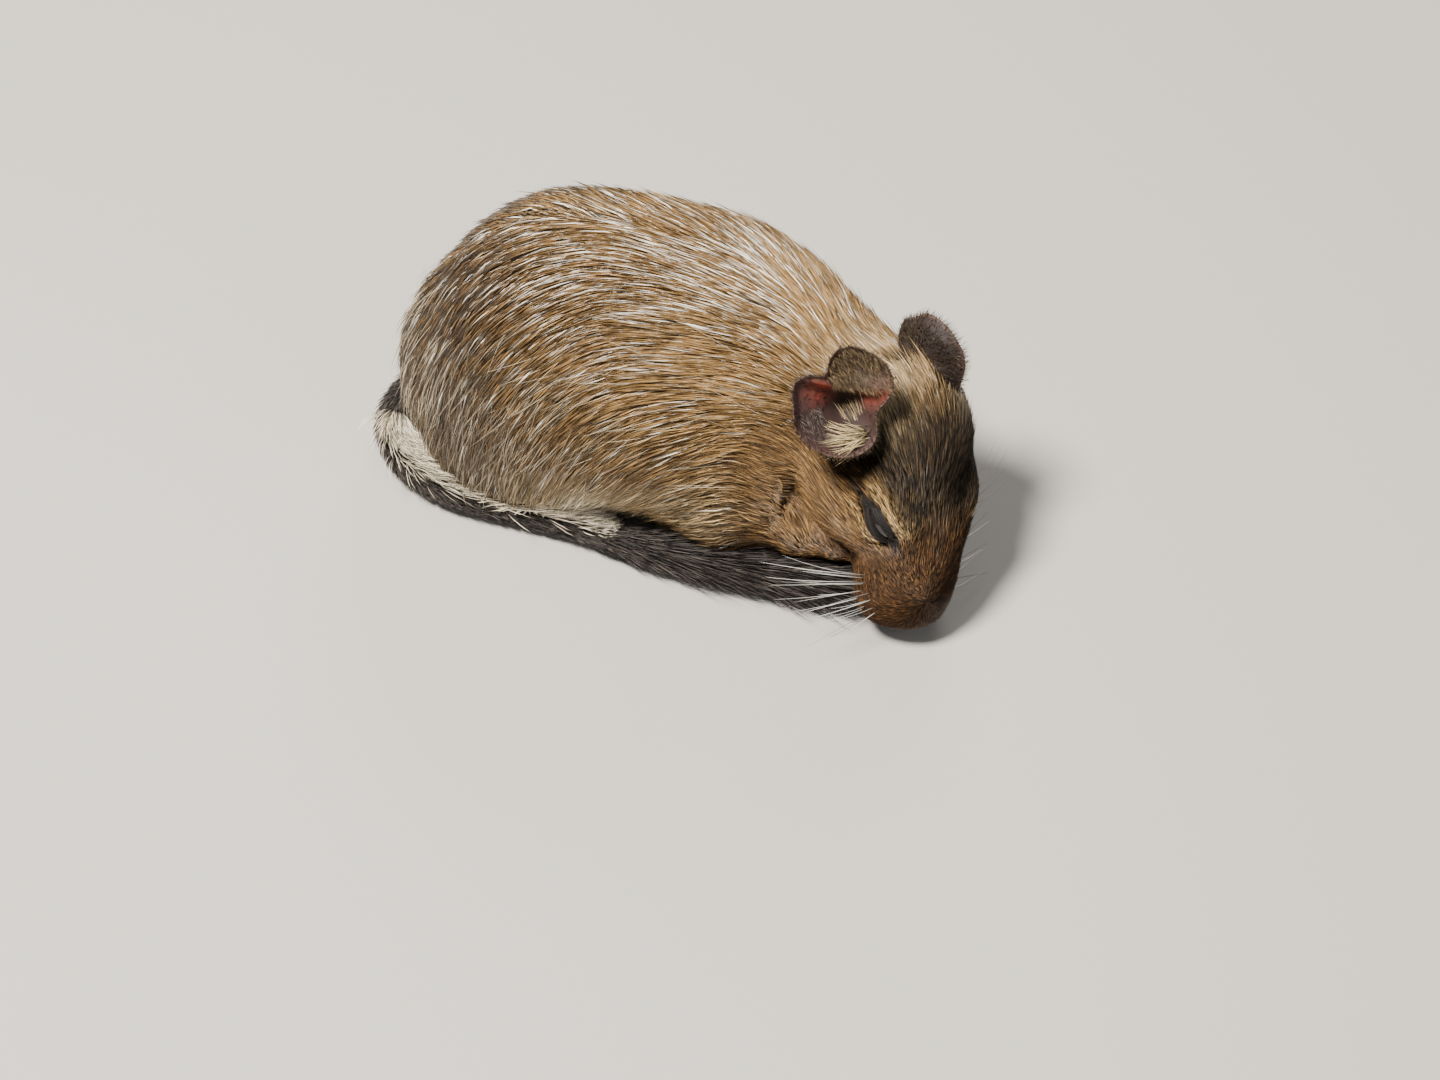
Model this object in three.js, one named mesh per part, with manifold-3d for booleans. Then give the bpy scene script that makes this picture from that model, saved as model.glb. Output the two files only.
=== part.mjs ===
// A life-size degu asleep: curled on its belly, back arched, head bowed to its right with the nose near the
// floor, and the tail wrapped forward along the right flank to under the jaw. Millimetres, +Z up, head to +X.
import * as THREE from 'three';
import { mergeVertices } from 'three/addons/utils/BufferGeometryUtils.js';
import Module from 'manifold-3d';

const wasm = await Module();
wasm.setup();

// Driving dimensions
const GAP = 0.3;
const FLOOR = 0;
const TRUNK_SOFTNESS = 2.4;
const HEAD_SOFTNESS = 1.1;
const JOIN_SOFTNESS = 2.2;
const TRUNK_DETAIL = 8;
const HEAD_DETAIL = 9;
const TRUNK_CENTRE = new THREE.Vector3(-13, -11, 27);
const PELVIS = { x: -24, y: -4.5, heading: -13 };
const CHEST = { x: 9, y: -13.5, heading: -24 };
const NECK_BASE = new THREE.Vector3(18, -16.5, 30);
const NECK = new THREE.Vector3(28, -21, 30.5);
const HEAD = { x: 36.5, y: -35, z: 27, yaw: -73.5, pitch: 53, roll: -27 };
const MUZZLE_TIP = 29;
const EYE_RADIUS = 4.2;
const EYE = { x: 5.6, y: 7.9, z: 4.6 };
const LID_THICKNESS = 0.7;
const SLIT = { length: 4.8, height: 1.2, depth: 3.4, slope: -8 };
const EAR_RADIUS = 9.8;
const EAR_THICKNESS = 0.9;
const TAIL_ROOT_RADIUS = 4.1;
const TAIL_TIP_RADIUS = 1.9;
const LOCK_SEED = 7;

const RIGHT = -1;
const LEFT = 1;
const radians = THREE.MathUtils.degToRad;
const v3 = (x, y, z) => new THREE.Vector3(x, y, z);

// Frames that the masses are placed in: the pelvis and chest turn about the vertical, the head three ways.
function turned(place, z = 0) {
  return new THREE.Matrix4().makeRotationZ(radians(place.heading)).setPosition(place.x, place.y, z);
}

function headFrame() {
  const forward = v3(1, 0, 0).applyEuler(new THREE.Euler(0, radians(HEAD.pitch), radians(HEAD.yaw), 'ZYX'));
  const level = v3(0, 0, 1).addScaledVector(forward, -forward.z).normalize();
  const up = level.applyAxisAngle(forward, radians(HEAD.roll));
  const left = up.clone().cross(forward);
  return new THREE.Matrix4().makeBasis(forward, left, up).setPosition(HEAD.x, HEAD.y, HEAD.z);
}

const pelvis = turned(PELVIS);
const chest = turned(CHEST);
const head = headFrame();
const inHead = (x, y, z) => v3(x, y, z).applyMatrix4(head);

// A mass is an ellipsoid in a frame; its field is about the distance to its surface, negative inside.
function mass(frame, centre, radii, tilt = [0, 0, 0]) {
  const local = new THREE.Matrix4().makeRotationFromEuler(new THREE.Euler(...tilt.map(radians)));
  local.setPosition(...centre);
  return { inverse: frame.clone().multiply(local).invert(), radii: v3(...radii) };
}

const scratch = v3(0, 0, 0);
function massField({ inverse, radii }, point) {
  const p = scratch.copy(point).applyMatrix4(inverse).divide(radii);
  const k = p.length();
  return (k * (k - 1)) / Math.max(p.divide(radii).length(), 1e-6);
}

const soften = (values, softness) =>
  -softness * Math.log(values.reduce((sum, value) => sum + Math.exp(-value / softness), 0));

const bothSides = (make) => [RIGHT, LEFT].map(make);

const neckMass = mass(new THREE.Matrix4(), NECK.toArray(), [15, 14, 13.5]);
const cranium = mass(head, [-7, 0, 2.2], [15.5, 13.6, 12.2]);
const throat = mass(head, [-10, 0, -9], [11, 9.6, 9]);

const trunkMasses = [
  mass(pelvis, [-11, 0, 22], [19, 19, 21.5]),
  mass(pelvis, [3, -1.5, 30.5], [26, 26, 30]),
  mass(pelvis, [15, -1.5, 30.5], [22, 25.5, 29.5]),
  mass(chest, [-7, 0, 29.8], [25, 25.5, 29]),
  mass(chest, [5, 1, 27], [20, 22, 25]),
  ...bothSides((side) => mass(pelvis, [-3, side * 12.8, 16.5], [19, 11.5, 16.5], [side * 8, -12, 0])),
  ...bothSides((side) => mass(chest, [5, side * 15.5, 18], [13.5, 9.5, 16.5], [side * 8, 14, 0])),
  neckMass,
  cranium,
  throat,
];

const headMasses = [
  cranium,
  throat,
  mass(head, [7.5, 0, 2.8], [17, 9.6, 8.8], [0, 6, 0]),
  mass(head, [19, 0, -0.8], [9.4, 8.6, 7.6], [0, 8, 0]),
  mass(head, [MUZZLE_TIP - 3.4, 0, -0.4], [3.4, 5.2, 4.3]),
  mass(head, [10.5, 0, -8.2], [13, 6.2, 4.8], [0, -4, 0]),
  ...bothSides((side) => mass(head, [-0.5, side * 9, -4], [12.8, 6.2, 9], [0, 0, side * -9])),
  ...bothSides((side) => mass(head, [21.2, side * 5, -3.4], [5.9, 4.8, 4.8])),
  ...bothSides((side) => mass(head, [5, side * 8.2, 7.4], [7.8, 3, 3], [0, 0, side * -12])),
  ...bothSides((side) => mass(head, [-10, side * 9, 6.4], [5.6, 4.2, 4.2])),
];

const trunkField = (point) => soften(trunkMasses.map((m) => massField(m, point)), TRUNK_SOFTNESS);

function headField(point) {
  const value = soften(headMasses.map((m) => massField(m, point)), HEAD_SOFTNESS);
  return soften([value, massField(neckMass, point)], JOIN_SOFTNESS);
}

// Moves each vertex of a ball out along its own ray until it meets the skin, or a level outside it.
function wrap(field, detail, centre, level = 0) {
  const ball = new THREE.IcosahedronGeometry(1, detail);
  ball.deleteAttribute('normal');
  ball.deleteAttribute('uv');
  const geometry = mergeVertices(ball, 1e-4);
  const position = geometry.getAttribute('position');
  const ray = v3(0, 0, 0);
  const point = v3(0, 0, 0);
  for (let i = 0; i < position.count; i += 1) {
    ray.fromBufferAttribute(position, i).normalize();
    let reach = 0;
    for (let step = 0; step < 60; step += 1) {
      const inside = level - field(point.copy(centre).addScaledVector(ray, reach));
      reach += 0.75 * inside;
      if (Math.abs(inside) < 0.005) break;
    }
    position.setXYZ(i, ...point);
  }
  return geometry;
}

// The nearest place on the head's skin to a point near it.
function onSkin(start, height = 0) {
  const point = start.clone();
  const step = 0.05;
  for (let i = 0; i < 12; i += 1) {
    const value = headField(point);
    const slope = v3(
      headField(point.clone().add(v3(step, 0, 0))) - value,
      headField(point.clone().add(v3(0, step, 0))) - value,
      headField(point.clone().add(v3(0, 0, step))) - value,
    ).normalize();
    point.addScaledVector(slope, 0.8 * (height - value));
  }
  return point;
}

// Closed geometry as a solid for joining and cutting, and back.
function solid(geometry) {
  const bare = geometry.index ? geometry.toNonIndexed() : geometry.clone();
  const points = new THREE.BufferGeometry().setAttribute('position', bare.getAttribute('position'));
  const merged = mergeVertices(points, 1e-4);
  return new wasm.Manifold(
    new wasm.Mesh({
      numProp: 3,
      vertProperties: merged.getAttribute('position').array,
      triVerts: new Uint32Array(merged.index.array),
    }),
  );
}

function geometryOf(made) {
  const mesh = made.getMesh();
  const geometry = new THREE.BufferGeometry();
  geometry.setAttribute('position', new THREE.BufferAttribute(new Float32Array(mesh.vertProperties), 3));
  geometry.setIndex(new THREE.BufferAttribute(new Uint32Array(mesh.triVerts), 1));
  return geometry;
}

const join = (pieces) => pieces.reduce((whole, piece) => whole.add(piece));
const bigger = (one, other) => (other.volume() > one.volume() ? other : one);
const largest = (made) => made.decompose().reduce(bigger);

function ellipsoid(centre, radii, basis = new THREE.Matrix4(), segments = [20, 14]) {
  const ball = new THREE.SphereGeometry(1, ...segments).scale(...radii).applyMatrix4(basis);
  return solid(ball.translate(...centre));
}

// A big block whose near face passes through a point, on the side that the normal points to.
function halfSpace(point, normal) {
  const size = 400;
  const block = new THREE.BoxGeometry(size, size, size).translate(0, 0, size / 2);
  const turn = new THREE.Quaternion().setFromUnitVectors(v3(0, 0, 1), normal.clone().normalize());
  return solid(block.applyQuaternion(turn).translate(...point));
}

// A tube along a curve. radiusAt(t) gives [side, height] at a share t of its length; the ends are flat fans.
function tube(curve, radiusAt, steps, sides, up = v3(0, 0, 1)) {
  const points = [];
  const faces = [];
  for (let i = 0; i <= steps; i += 1) {
    const t = i / steps;
    const centre = curve.getPoint(t);
    const ahead = curve.getTangent(t);
    const across = up.clone().cross(ahead).normalize();
    const raised = ahead.clone().cross(across);
    const [wide, high] = radiusAt(t);
    for (let j = 0; j < sides; j += 1) {
      const angle = (2 * Math.PI * j) / sides;
      const point = centre.clone().addScaledVector(across, wide * Math.cos(angle));
      points.push(point.addScaledVector(raised, high * Math.sin(angle)));
    }
  }
  const ring = (i, j) => i * sides + (j % sides);
  for (let i = 0; i < steps; i += 1) {
    for (let j = 0; j < sides; j += 1) {
      faces.push(ring(i, j), ring(i, j + 1), ring(i + 1, j));
      faces.push(ring(i, j + 1), ring(i + 1, j + 1), ring(i + 1, j));
    }
  }
  const first = points.push(curve.getPoint(0)) - 1;
  const last = points.push(curve.getPoint(1)) - 1;
  for (let j = 0; j < sides; j += 1) {
    faces.push(first, ring(0, j + 1), ring(0, j));
    faces.push(last, ring(steps, j), ring(steps, j + 1));
  }
  const geometry = new THREE.BufferGeometry().setFromPoints(points);
  return solid(geometry.setIndex(faces));
}

function roundEnds(t, ends = 0.16) {
  const fromEnd = Math.min(t, 1 - t) / ends;
  return Math.sqrt(Math.max(0.04, 1 - Math.max(0, 1 - fromEnd) ** 2));
}

const path = (...points) => new THREE.CatmullRomCurve3(points);

// A short pillar with an oval end, its axis square to the skin, that marks off the top of a leg.
function pillar(inner, outer, wide, high) {
  const axis = outer.clone().sub(inner);
  const across = v3(0, 0, 1).cross(axis).normalize();
  const raised = axis.clone().normalize().cross(across);
  const shape = new THREE.Matrix4();
  shape.makeBasis(across.multiplyScalar(wide), axis, raised.multiplyScalar(-high));
  const round = new THREE.CylinderGeometry(1, 0.9, 1, 22).applyMatrix4(shape);
  return solid(round.translate(...inner.clone().lerp(outer, 0.5)));
}

// Whole wraps, and the planes that part head, neck and torso
const aboveFloor = halfSpace(v3(0, 0, FLOOR), v3(0, 0, 1));
const trunk = solid(wrap(trunkField, TRUNK_DETAIL, TRUNK_CENTRE));
const trunkGrown = solid(wrap(trunkField, TRUNK_DETAIL, TRUNK_CENTRE, GAP));
const neckAxis = NECK.clone().sub(inHead(0, 0, 0)).normalize();
const headEnd = inHead(0, 0, 0).addScaledVector(neckAxis, 12);
const headTurn = neckAxis.clone().add(TRUNK_CENTRE.clone().sub(inHead(0, 0, 0)).normalize()).normalize();
const headEndGrown = headEnd.clone().addScaledVector(headTurn, GAP);
const headSide = halfSpace(headEnd, headTurn.clone().negate());
const headSideGrown = halfSpace(headEndGrown, headTurn.clone().negate());
const bodySide = halfSpace(headEndGrown, headTurn);
const headWrap = solid(wrap(headField, HEAD_DETAIL, inHead(2, 0, -1))).intersect(headSide);
const headGrown = solid(wrap(headField, HEAD_DETAIL, inHead(2, 0, -1), GAP)).intersect(headSideGrown);
const neckTurn = NECK.clone().sub(NECK_BASE).normalize();
const neckSide = halfSpace(NECK_BASE.clone().addScaledVector(neckTurn, GAP / 2), neckTurn);
const torsoSide = halfSpace(NECK_BASE.clone().addScaledVector(neckTurn, -GAP / 2), neckTurn.clone().negate());

// One toe: a knuckled finger that lies on the floor, and a claw that curves down at its end.
function toe(start, aim, length, radius, grow) {
  const middle = start.clone().addScaledVector(aim, 0.55 * length).add(v3(0, 0, 0.5 * radius));
  const end = start.clone().addScaledVector(aim, length);
  end.z = radius * 0.9;
  const finger = tube(
    path(start, middle, end),
    (t) => [1, 1].map(() => (radius * (0.92 + 0.14 * Math.sin(9 * t)) + grow) * roundEnds(t)),
    3,
    5,
  );
  const clawStart = end.clone().addScaledVector(aim, -0.5);
  const clawMiddle = clawStart.clone().addScaledVector(aim, 1.7).add(v3(0, 0, 0.55));
  const clawEnd = clawStart.clone().addScaledVector(aim, 3.2).add(v3(0, 0, -0.45));
  const claw = tube(path(clawStart, clawMiddle, clawEnd), (t) => {
    const width = 0.62 * (1 - 0.72 * t) + grow;
    return [width, width * 1.15];
  }, 3, 4);
  return finger.add(claw);
}

// A foot on the floor: a sole from heel to toes' roots, with four spread toes and a short inner one.
function foot(heel, ball, width, toeLength, innerSide, grow) {
  const aim = ball.clone().sub(heel).setZ(0).normalize();
  const across = v3(-aim.y, aim.x, 0);
  const rise = heel.z;
  const sole = tube(
    path(heel, heel.clone().lerp(ball, 0.5).setZ(rise * 0.8), ball),
    (t) => {
      const half = width * (0.34 + 0.16 * t) + grow;
      return [half * roundEnds(t), (rise * (1 - 0.25 * t) + grow) * roundEnds(t)];
    },
    5,
    8,
  );
  const toes = [-1.5, -0.5, 0.5, 1.5].map((place) => {
    const root = ball.clone().addScaledVector(aim, -1.2).addScaledVector(across, place * width * 0.24);
    const spread = aim.clone().addScaledVector(across, place * 0.11).normalize();
    const length = toeLength * (1 - 0.1 * Math.abs(place));
    return toe(root.setZ(1.5), spread, length, width * 0.125, grow);
  });
  const innerRoot = heel.clone().lerp(ball, 0.72).addScaledVector(across, innerSide * width * 0.42).setZ(1.4);
  const innerAim = aim.clone().addScaledVector(across, innerSide * 0.35).normalize();
  return join([sole, ...toes, toe(innerRoot, innerAim, toeLength * 0.42, width * 0.11, grow)]);
}

// A leg is the trunk's skin inside its pillar, with the limb below it and the foot.
const byPelvis = (side) => (x, y, z) => v3(x, side * y, z).applyMatrix4(pelvis);
const byChest = (side) => (x, y, z) => v3(x, side * y, z).applyMatrix4(chest);

function haunch(side, grow = 0) {
  const at = byPelvis(side);
  return pillar(at(-3, 11 - grow, 13), at(-3, 44, 20), 17 + grow, 16.5 + grow);
}

function shoulder(side, grow = 0) {
  const at = byChest(side);
  return pillar(at(4, 11 - grow, 16), at(4, 42, 20), 11.5 + grow, 15.5 + grow);
}

function hindlimb(side, grow = 0) {
  const at = byPelvis(side);
  const shank = tube(
    path(at(10, 17, 12), at(1, 16.5, 7.5), at(-9, 15.5, 5)),
    (t) => [1, 1].map(() => (5.4 - 1.6 * t + grow) * roundEnds(t)),
    5,
    8,
  );
  return shank.add(foot(at(-9, 14.5, 3.4), at(12, 18, 2.6), 9.4, 9, -side, grow));
}

function forelimb(side, grow = 0) {
  const at = byChest(side);
  const forearm = tube(
    path(at(2, 15, 17), at(4, 14.5, 11), at(9.5, 14, 6.4), at(19, 12.5, 4)),
    (t) => [1, 1].map(() => (5 - 2.1 * t + grow) * roundEnds(t)),
    7,
    8,
  );
  return forearm.add(foot(at(18, 12.5, 3), at(25, 10.5, 2.4), 7.6, 6.2, -side, grow));
}

// The head: the wrap with lids round each eye, nostrils, a cleft, and the line of the mouth.
function eyeFrame(side) {
  const outward = v3(0.34, side * 0.8, 0.46).normalize();
  const slope = radians(SLIT.slope);
  const along = v3(Math.cos(slope), side * -0.36, -Math.sin(slope));
  along.addScaledVector(outward, -along.dot(outward)).normalize();
  const basis = new THREE.Matrix4().makeBasis(along, outward.clone().cross(along), outward);
  return head.clone().setPosition(0, 0, 0).multiply(basis);
}

function carveFace(rough) {
  let face = rough;
  for (const side of [RIGHT, LEFT]) {
    const centre = inHead(EYE.x, side * EYE.y, EYE.z);
    const basis = eyeFrame(side);
    const outward = v3(0, 0, 1).applyMatrix4(basis);
    const lidRadius = EYE_RADIUS + GAP + LID_THICKNESS;
    face = face.add(ellipsoid(centre, [lidRadius + 0.5, lidRadius, lidRadius - 0.1], basis, [18, 12]));
    face = face.subtract(ellipsoid(centre, Array(3).fill(EYE_RADIUS + GAP), basis, [16, 12]));
    const slit = [SLIT.length, SLIT.height, SLIT.depth];
    const front = centre.clone().addScaledVector(outward, EYE_RADIUS);
    face = face.subtract(ellipsoid(front, slit, basis, [14, 8]));
    const nostril = onSkin(inHead(MUZZLE_TIP, side * 1.7, -1));
    face = face.subtract(ellipsoid(nostril, [0.9, 0.75, 0.5], head.clone().setPosition(0, 0, 0), [10, 8]));
  }
  const lip = [[10, 9, -7.6], [16, 8, -8], [21.8, 5, -7.8], [25, 0, -6.4]];
  const rightLip = lip.map(([x, y, z]) => [x, -y, z]);
  const mouth = path(...[...rightLip, ...lip.slice(0, -1).reverse()].map((p) => onSkin(inHead(...p))));
  face = face.subtract(tube(mouth, () => [0.45, 0.45], 16, 5, v3(0, 1, 0.3)));
  const cleftPoints = [[29.2, 0, -1.8], [28, 0, -4], [25.8, 0, -5.8]];
  const cleft = path(...cleftPoints.map((p) => onSkin(inHead(...p))));
  return face.subtract(tube(cleft, () => [0.3, 0.35], 4, 5, v3(1, 0, 0.2)));
}

// An ear is a bowl, narrow at its root, with a notch at the back of its rim, a fold from it and a deep pit.
function ear(side, centre, facing, upright, notch) {
  const rings = 6;
  const spokes = 22;
  const outward = v3(...facing).normalize();
  const rise = v3(...upright);
  rise.addScaledVector(outward, -rise.dot(outward)).normalize();
  const across = rise.clone().cross(outward).multiplyScalar(side);
  const basis = new THREE.Matrix4().makeBasis(across, rise, outward).setPosition(...centre);
  const shape = head.clone().multiply(basis);
  const rim = (angle) => {
    const dip = (middle, width) => Math.exp(-(((angle - middle) / width) ** 2));
    return EAR_RADIUS * (1 - notch * dip(1.72, 0.36) - 0.36 * dip(4.23, 0.5) - 0.1 * dip(0.7, 0.4));
  };
  const depthAt = (a, b, share) => {
    const bowl = 3 * (1 - share ** 2);
    const pit = 3.4 * Math.exp(-((a - 0.5) ** 2 + (b + 2) ** 2) / 13);
    const ridge = 1.7 * Math.exp(-(((0.85 * a - 0.53 * b + 2.6) / 1.8) ** 2)) * (1 - share ** 3);
    return bowl + pit - ridge;
  };
  const layers = [0, -EAR_THICKNESS].map((offset) => {
    const points = [v3(0, 0, offset - depthAt(0, 0, 0))];
    for (let i = 1; i <= rings; i += 1) {
      const share = i / rings;
      for (let j = 0; j < spokes; j += 1) {
        const angle = (2 * Math.PI * j) / spokes;
        const a = share * rim(angle) * Math.cos(angle);
        const b = share * rim(angle) * Math.sin(angle);
        points.push(v3(a, b, offset * (1.25 - 0.6 * share) - depthAt(a, b, share)));
      }
    }
    return points;
  });
  const count = layers[0].length;
  const spot = (i, j) => (i === 0 ? 0 : 1 + (i - 1) * spokes + (j % spokes));
  const faces = [];
  for (let i = 0; i < rings; i += 1) {
    for (let j = 0; j < spokes; j += 1) {
      const [near, far] = [spot(i, j), spot(i + 1, j)];
      const [farNext, nearNext] = [spot(i + 1, j + 1), spot(i, j + 1)];
      const triangles = [[near, far, farNext]];
      if (i > 0) triangles.push([near, farNext, nearNext]);
      for (const [a, b, c] of triangles) {
        faces.push(a, b, c);
        faces.push(count + a, count + c, count + b);
      }
    }
  }
  for (let j = 0; j < spokes; j += 1) {
    const [a, b] = [spot(rings, j), spot(rings, j + 1)];
    faces.push(a, count + a, b, b, count + a, count + b);
  }
  if (side === RIGHT) faces.reverse();
  const points = layers.flat().map((point) => point.applyMatrix4(shape));
  const geometry = new THREE.BufferGeometry().setFromPoints(points).setIndex(faces);
  return largest(solid(geometry).subtract(headGrown).subtract(trunkGrown));
}

// The tail lies on the floor round the right flank and ends in a brush of flat, tapered locks.
const tailCurve = path(
  v3(-42, 6, 12),
  v3(-52, 4, 6.5),
  v3(-56, -3.5, 4.6),
  v3(-53, -12.5, 4.1),
  v3(-45, -19.4, 3.9),
  v3(-34.2, -23.6, 3.8),
  v3(-23.4, -27.2, 3.8),
  v3(-9, -33, 3.8),
  v3(9, -38, 3.8),
  v3(20, -41, 3.6),
  v3(29, -42.5, 3.4),
);
const tailRadius = (t) => TAIL_ROOT_RADIUS + (TAIL_TIP_RADIUS - TAIL_ROOT_RADIUS) * t;

function tailLength(from, to, steps, grow = 0) {
  const share = (t) => from + (to - from) * t;
  const stretch = new THREE.Curve();
  stretch.getPoint = (t) => tailCurve.getPointAt(share(t));
  const thickness = (t) => [tailRadius(share(t)) * 1.08 + grow, tailRadius(share(t)) + grow];
  return tube(stretch, thickness, steps, 12);
}

function seeded(seed) {
  let state = seed;
  return () => {
    state = (state * 16807) % 2147483647;
    return state / 2147483647;
  };
}

function lock(share, angle, length, random) {
  const root = tailCurve.getPointAt(share);
  const ahead = tailCurve.getTangentAt(share);
  const across = v3(0, 0, 1).cross(ahead).normalize();
  const raised = ahead.clone().cross(across);
  const side = across.multiplyScalar(Math.cos(angle)).addScaledVector(raised, Math.sin(angle));
  const lift = 0.24 + 0.12 * random();
  const start = root.addScaledVector(side, 0.3);
  const middle = start.clone().addScaledVector(ahead, 0.5 * length).addScaledVector(side, lift * length);
  const end = start.clone().addScaledVector(ahead, length).addScaledVector(side, 1.25 * lift * length);
  const flat = ahead.clone().cross(side);
  return tube(path(start, middle, end), (t) => {
    const width = 1.5 * (1 - t) ** 0.7 + 0.26;
    return [0.62 * (1 - 0.55 * t), width];
  }, 3, 4, flat);
}

function tailBrush(from) {
  const random = seeded(LOCK_SEED);
  const locks = [];
  for (let ring = 0; ring < 5; ring += 1) {
    const share = from + 0.02 + (0.88 - from) * (ring / 4.4);
    for (let k = 0; k < 5; k += 1) {
      const angle = (Math.PI * (k + 0.5 * (ring % 2)) * 2) / 5 + 0.3 * (random() - 0.5);
      if (Math.sin(angle) > -0.7) locks.push(lock(share, angle, 10 + 3 * random(), random));
    }
  }
  return join([tailLength(from, 0.985, 12), ...locks]);
}

// Parting: the legs first, then neck, torso and head, each kept a gap from the ones before.
const hindlegs = bothSides((side) => trunk.intersect(haunch(side)).add(hindlimb(side)));
const forelegs = bothSides((side) => trunk.intersect(shoulder(side)).add(forelimb(side)));
const limbsGrown = join(bothSides((side) => hindlimb(side, GAP).add(forelimb(side, GAP))));
const topsGrown = join(bothSides((side) => haunch(side, GAP).add(shoulder(side, GAP))));
const withoutLegs = trunk.subtract(limbsGrown).subtract(topsGrown).subtract(headGrown);
const face = carveFace(headWrap);
const neck = withoutLegs.intersect(neckSide).intersect(bodySide);
const torso = withoutLegs.intersect(torsoSide);

const TAIL_CUTS = [0, 0.36, 0.69];
const tailGap = GAP / 2 / tailCurve.getLength();
const tailGrown = join([
  tailLength(TAIL_CUTS[0], TAIL_CUTS[1], 18, GAP),
  tailLength(TAIL_CUTS[1], TAIL_CUTS[2], 14, GAP),
  tailLength(TAIL_CUTS[2], 1, 12, GAP),
]);

const COLOURS = {
  coat: { color: 0x8a6a42, roughness: 0.85 },
  ear: { color: 0x5a3c30, roughness: 0.7 },
  eye: { color: 0x0c0a09, roughness: 0.15 },
  tail: { color: 0x3d3733, roughness: 0.85 },
};

const part = new THREE.Group();
function place(name, made, colour) {
  const kept = largest(made.intersect(aboveFloor));
  const finish = new THREE.MeshStandardMaterial({ ...COLOURS[colour], metalness: 0 });
  const mesh = new THREE.Mesh(geometryOf(kept), finish);
  mesh.name = name;
  part.add(mesh);
}

place('torso', torso.subtract(tailGrown), 'coat');
place('neck', neck, 'coat');
place('head', face, 'coat');
[RIGHT, LEFT].forEach((side, i) => {
  const word = side === RIGHT ? 'right' : 'left';
  place(`hindleg_${word}`, hindlegs[i].subtract(tailGrown), 'coat');
  place(`foreleg_${word}`, forelegs[i].subtract(headGrown).subtract(tailGrown), 'coat');
  const centre = inHead(EYE.x, side * EYE.y, EYE.z);
  place(`eye_${word}`, ellipsoid(centre, Array(3).fill(EYE_RADIUS), eyeFrame(side), [16, 12]), 'eye');
});
const earRight = ear(RIGHT, [-18.1, -16.9, 9.3], [-0.05, -0.58, 0.81], [-0.8, -0.5, -0.2], 0.43);
const earLeft = ear(LEFT, [-20.3, 9.2, 9.4], [-0.19, 0.97, 0.11], [-0.91, -0.13, -0.39], 0.14);
place('ear_right', earRight, 'ear');
place('ear_left', earLeft, 'ear');
place('tail_base', tailLength(TAIL_CUTS[0], TAIL_CUTS[1] - tailGap, 18), 'tail');
place('tail_middle', tailLength(TAIL_CUTS[1] + tailGap, TAIL_CUTS[2] - tailGap, 14), 'tail');
const clear = tailBrush(TAIL_CUTS[2] + tailGap).subtract(trunkGrown).subtract(limbsGrown).subtract(headGrown);
place('tail_brush', clear, 'tail');

// The origin is under the middle of the whole model, on the floor.
const box = new THREE.Box3().setFromObject(part);
part.position.set(-(box.min.x + box.max.x) / 2, -(box.min.y + box.max.y) / 2, -box.min.z);

export default part;
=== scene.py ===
import math

import bmesh
import bpy
import numpy as np
from mathutils import Matrix, Vector
from mathutils.bvhtree import BVHTree
from mathutils.kdtree import KDTree


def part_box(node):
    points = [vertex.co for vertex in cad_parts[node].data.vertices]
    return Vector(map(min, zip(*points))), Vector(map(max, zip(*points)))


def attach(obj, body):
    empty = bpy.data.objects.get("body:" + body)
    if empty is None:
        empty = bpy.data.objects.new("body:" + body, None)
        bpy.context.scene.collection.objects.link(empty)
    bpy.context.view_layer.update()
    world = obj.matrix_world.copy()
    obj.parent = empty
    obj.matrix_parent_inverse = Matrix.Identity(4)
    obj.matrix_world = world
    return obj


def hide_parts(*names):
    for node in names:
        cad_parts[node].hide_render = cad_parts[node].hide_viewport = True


# A sleeping degu: one skin with lids, nose, mouth and feet; glossy eyes, horn claws and thin ears; a coat of
# fine solid strands, a furred tail with a brush, and whiskers.
# Lengths here are millimetres until a mesh is written.

MM = 0.001
RIGHT, LEFT = -1, 1
SIDE_NAMES = {RIGHT: "right", LEFT: "left"}
rng = np.random.default_rng(4183)

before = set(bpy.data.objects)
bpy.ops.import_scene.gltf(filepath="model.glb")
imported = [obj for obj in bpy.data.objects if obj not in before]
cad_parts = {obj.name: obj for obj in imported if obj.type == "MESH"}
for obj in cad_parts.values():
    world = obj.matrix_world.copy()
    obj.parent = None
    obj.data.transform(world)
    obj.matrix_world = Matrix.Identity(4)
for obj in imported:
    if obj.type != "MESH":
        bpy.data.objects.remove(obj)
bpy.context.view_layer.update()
bpy.ops.object.select_all(action="DESELECT")


# Anchors: the eyes of the solids fix the head's frame and how far the model was moved to its origin.
def unit(v):
    """Vectors made one long."""
    v = np.asarray(v, float)
    return v / np.maximum(np.linalg.norm(v, axis=-1, keepdims=True), 1e-9)


def node_centre(node):
    low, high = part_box(node)
    return (np.array(low) + np.array(high)) / 2 / MM


HEAD_YAW, HEAD_PITCH, HEAD_ROLL = (math.radians(a) for a in (-73.5, 53, -27))
HEAD_PLACE = np.array([36.5, -35.0, 27.0])
EYE_PLACE = np.array([5.6, 7.9, 4.6])
EYE_RADIUS = 4.2
EAR_RADIUS = 9.8
PELVIS = (-24, -4.5, -13)
CHEST = (9, -13.5, -24)
NECK = (28, -21, 30.5)
MUZZLE_TIP = 29

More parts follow.
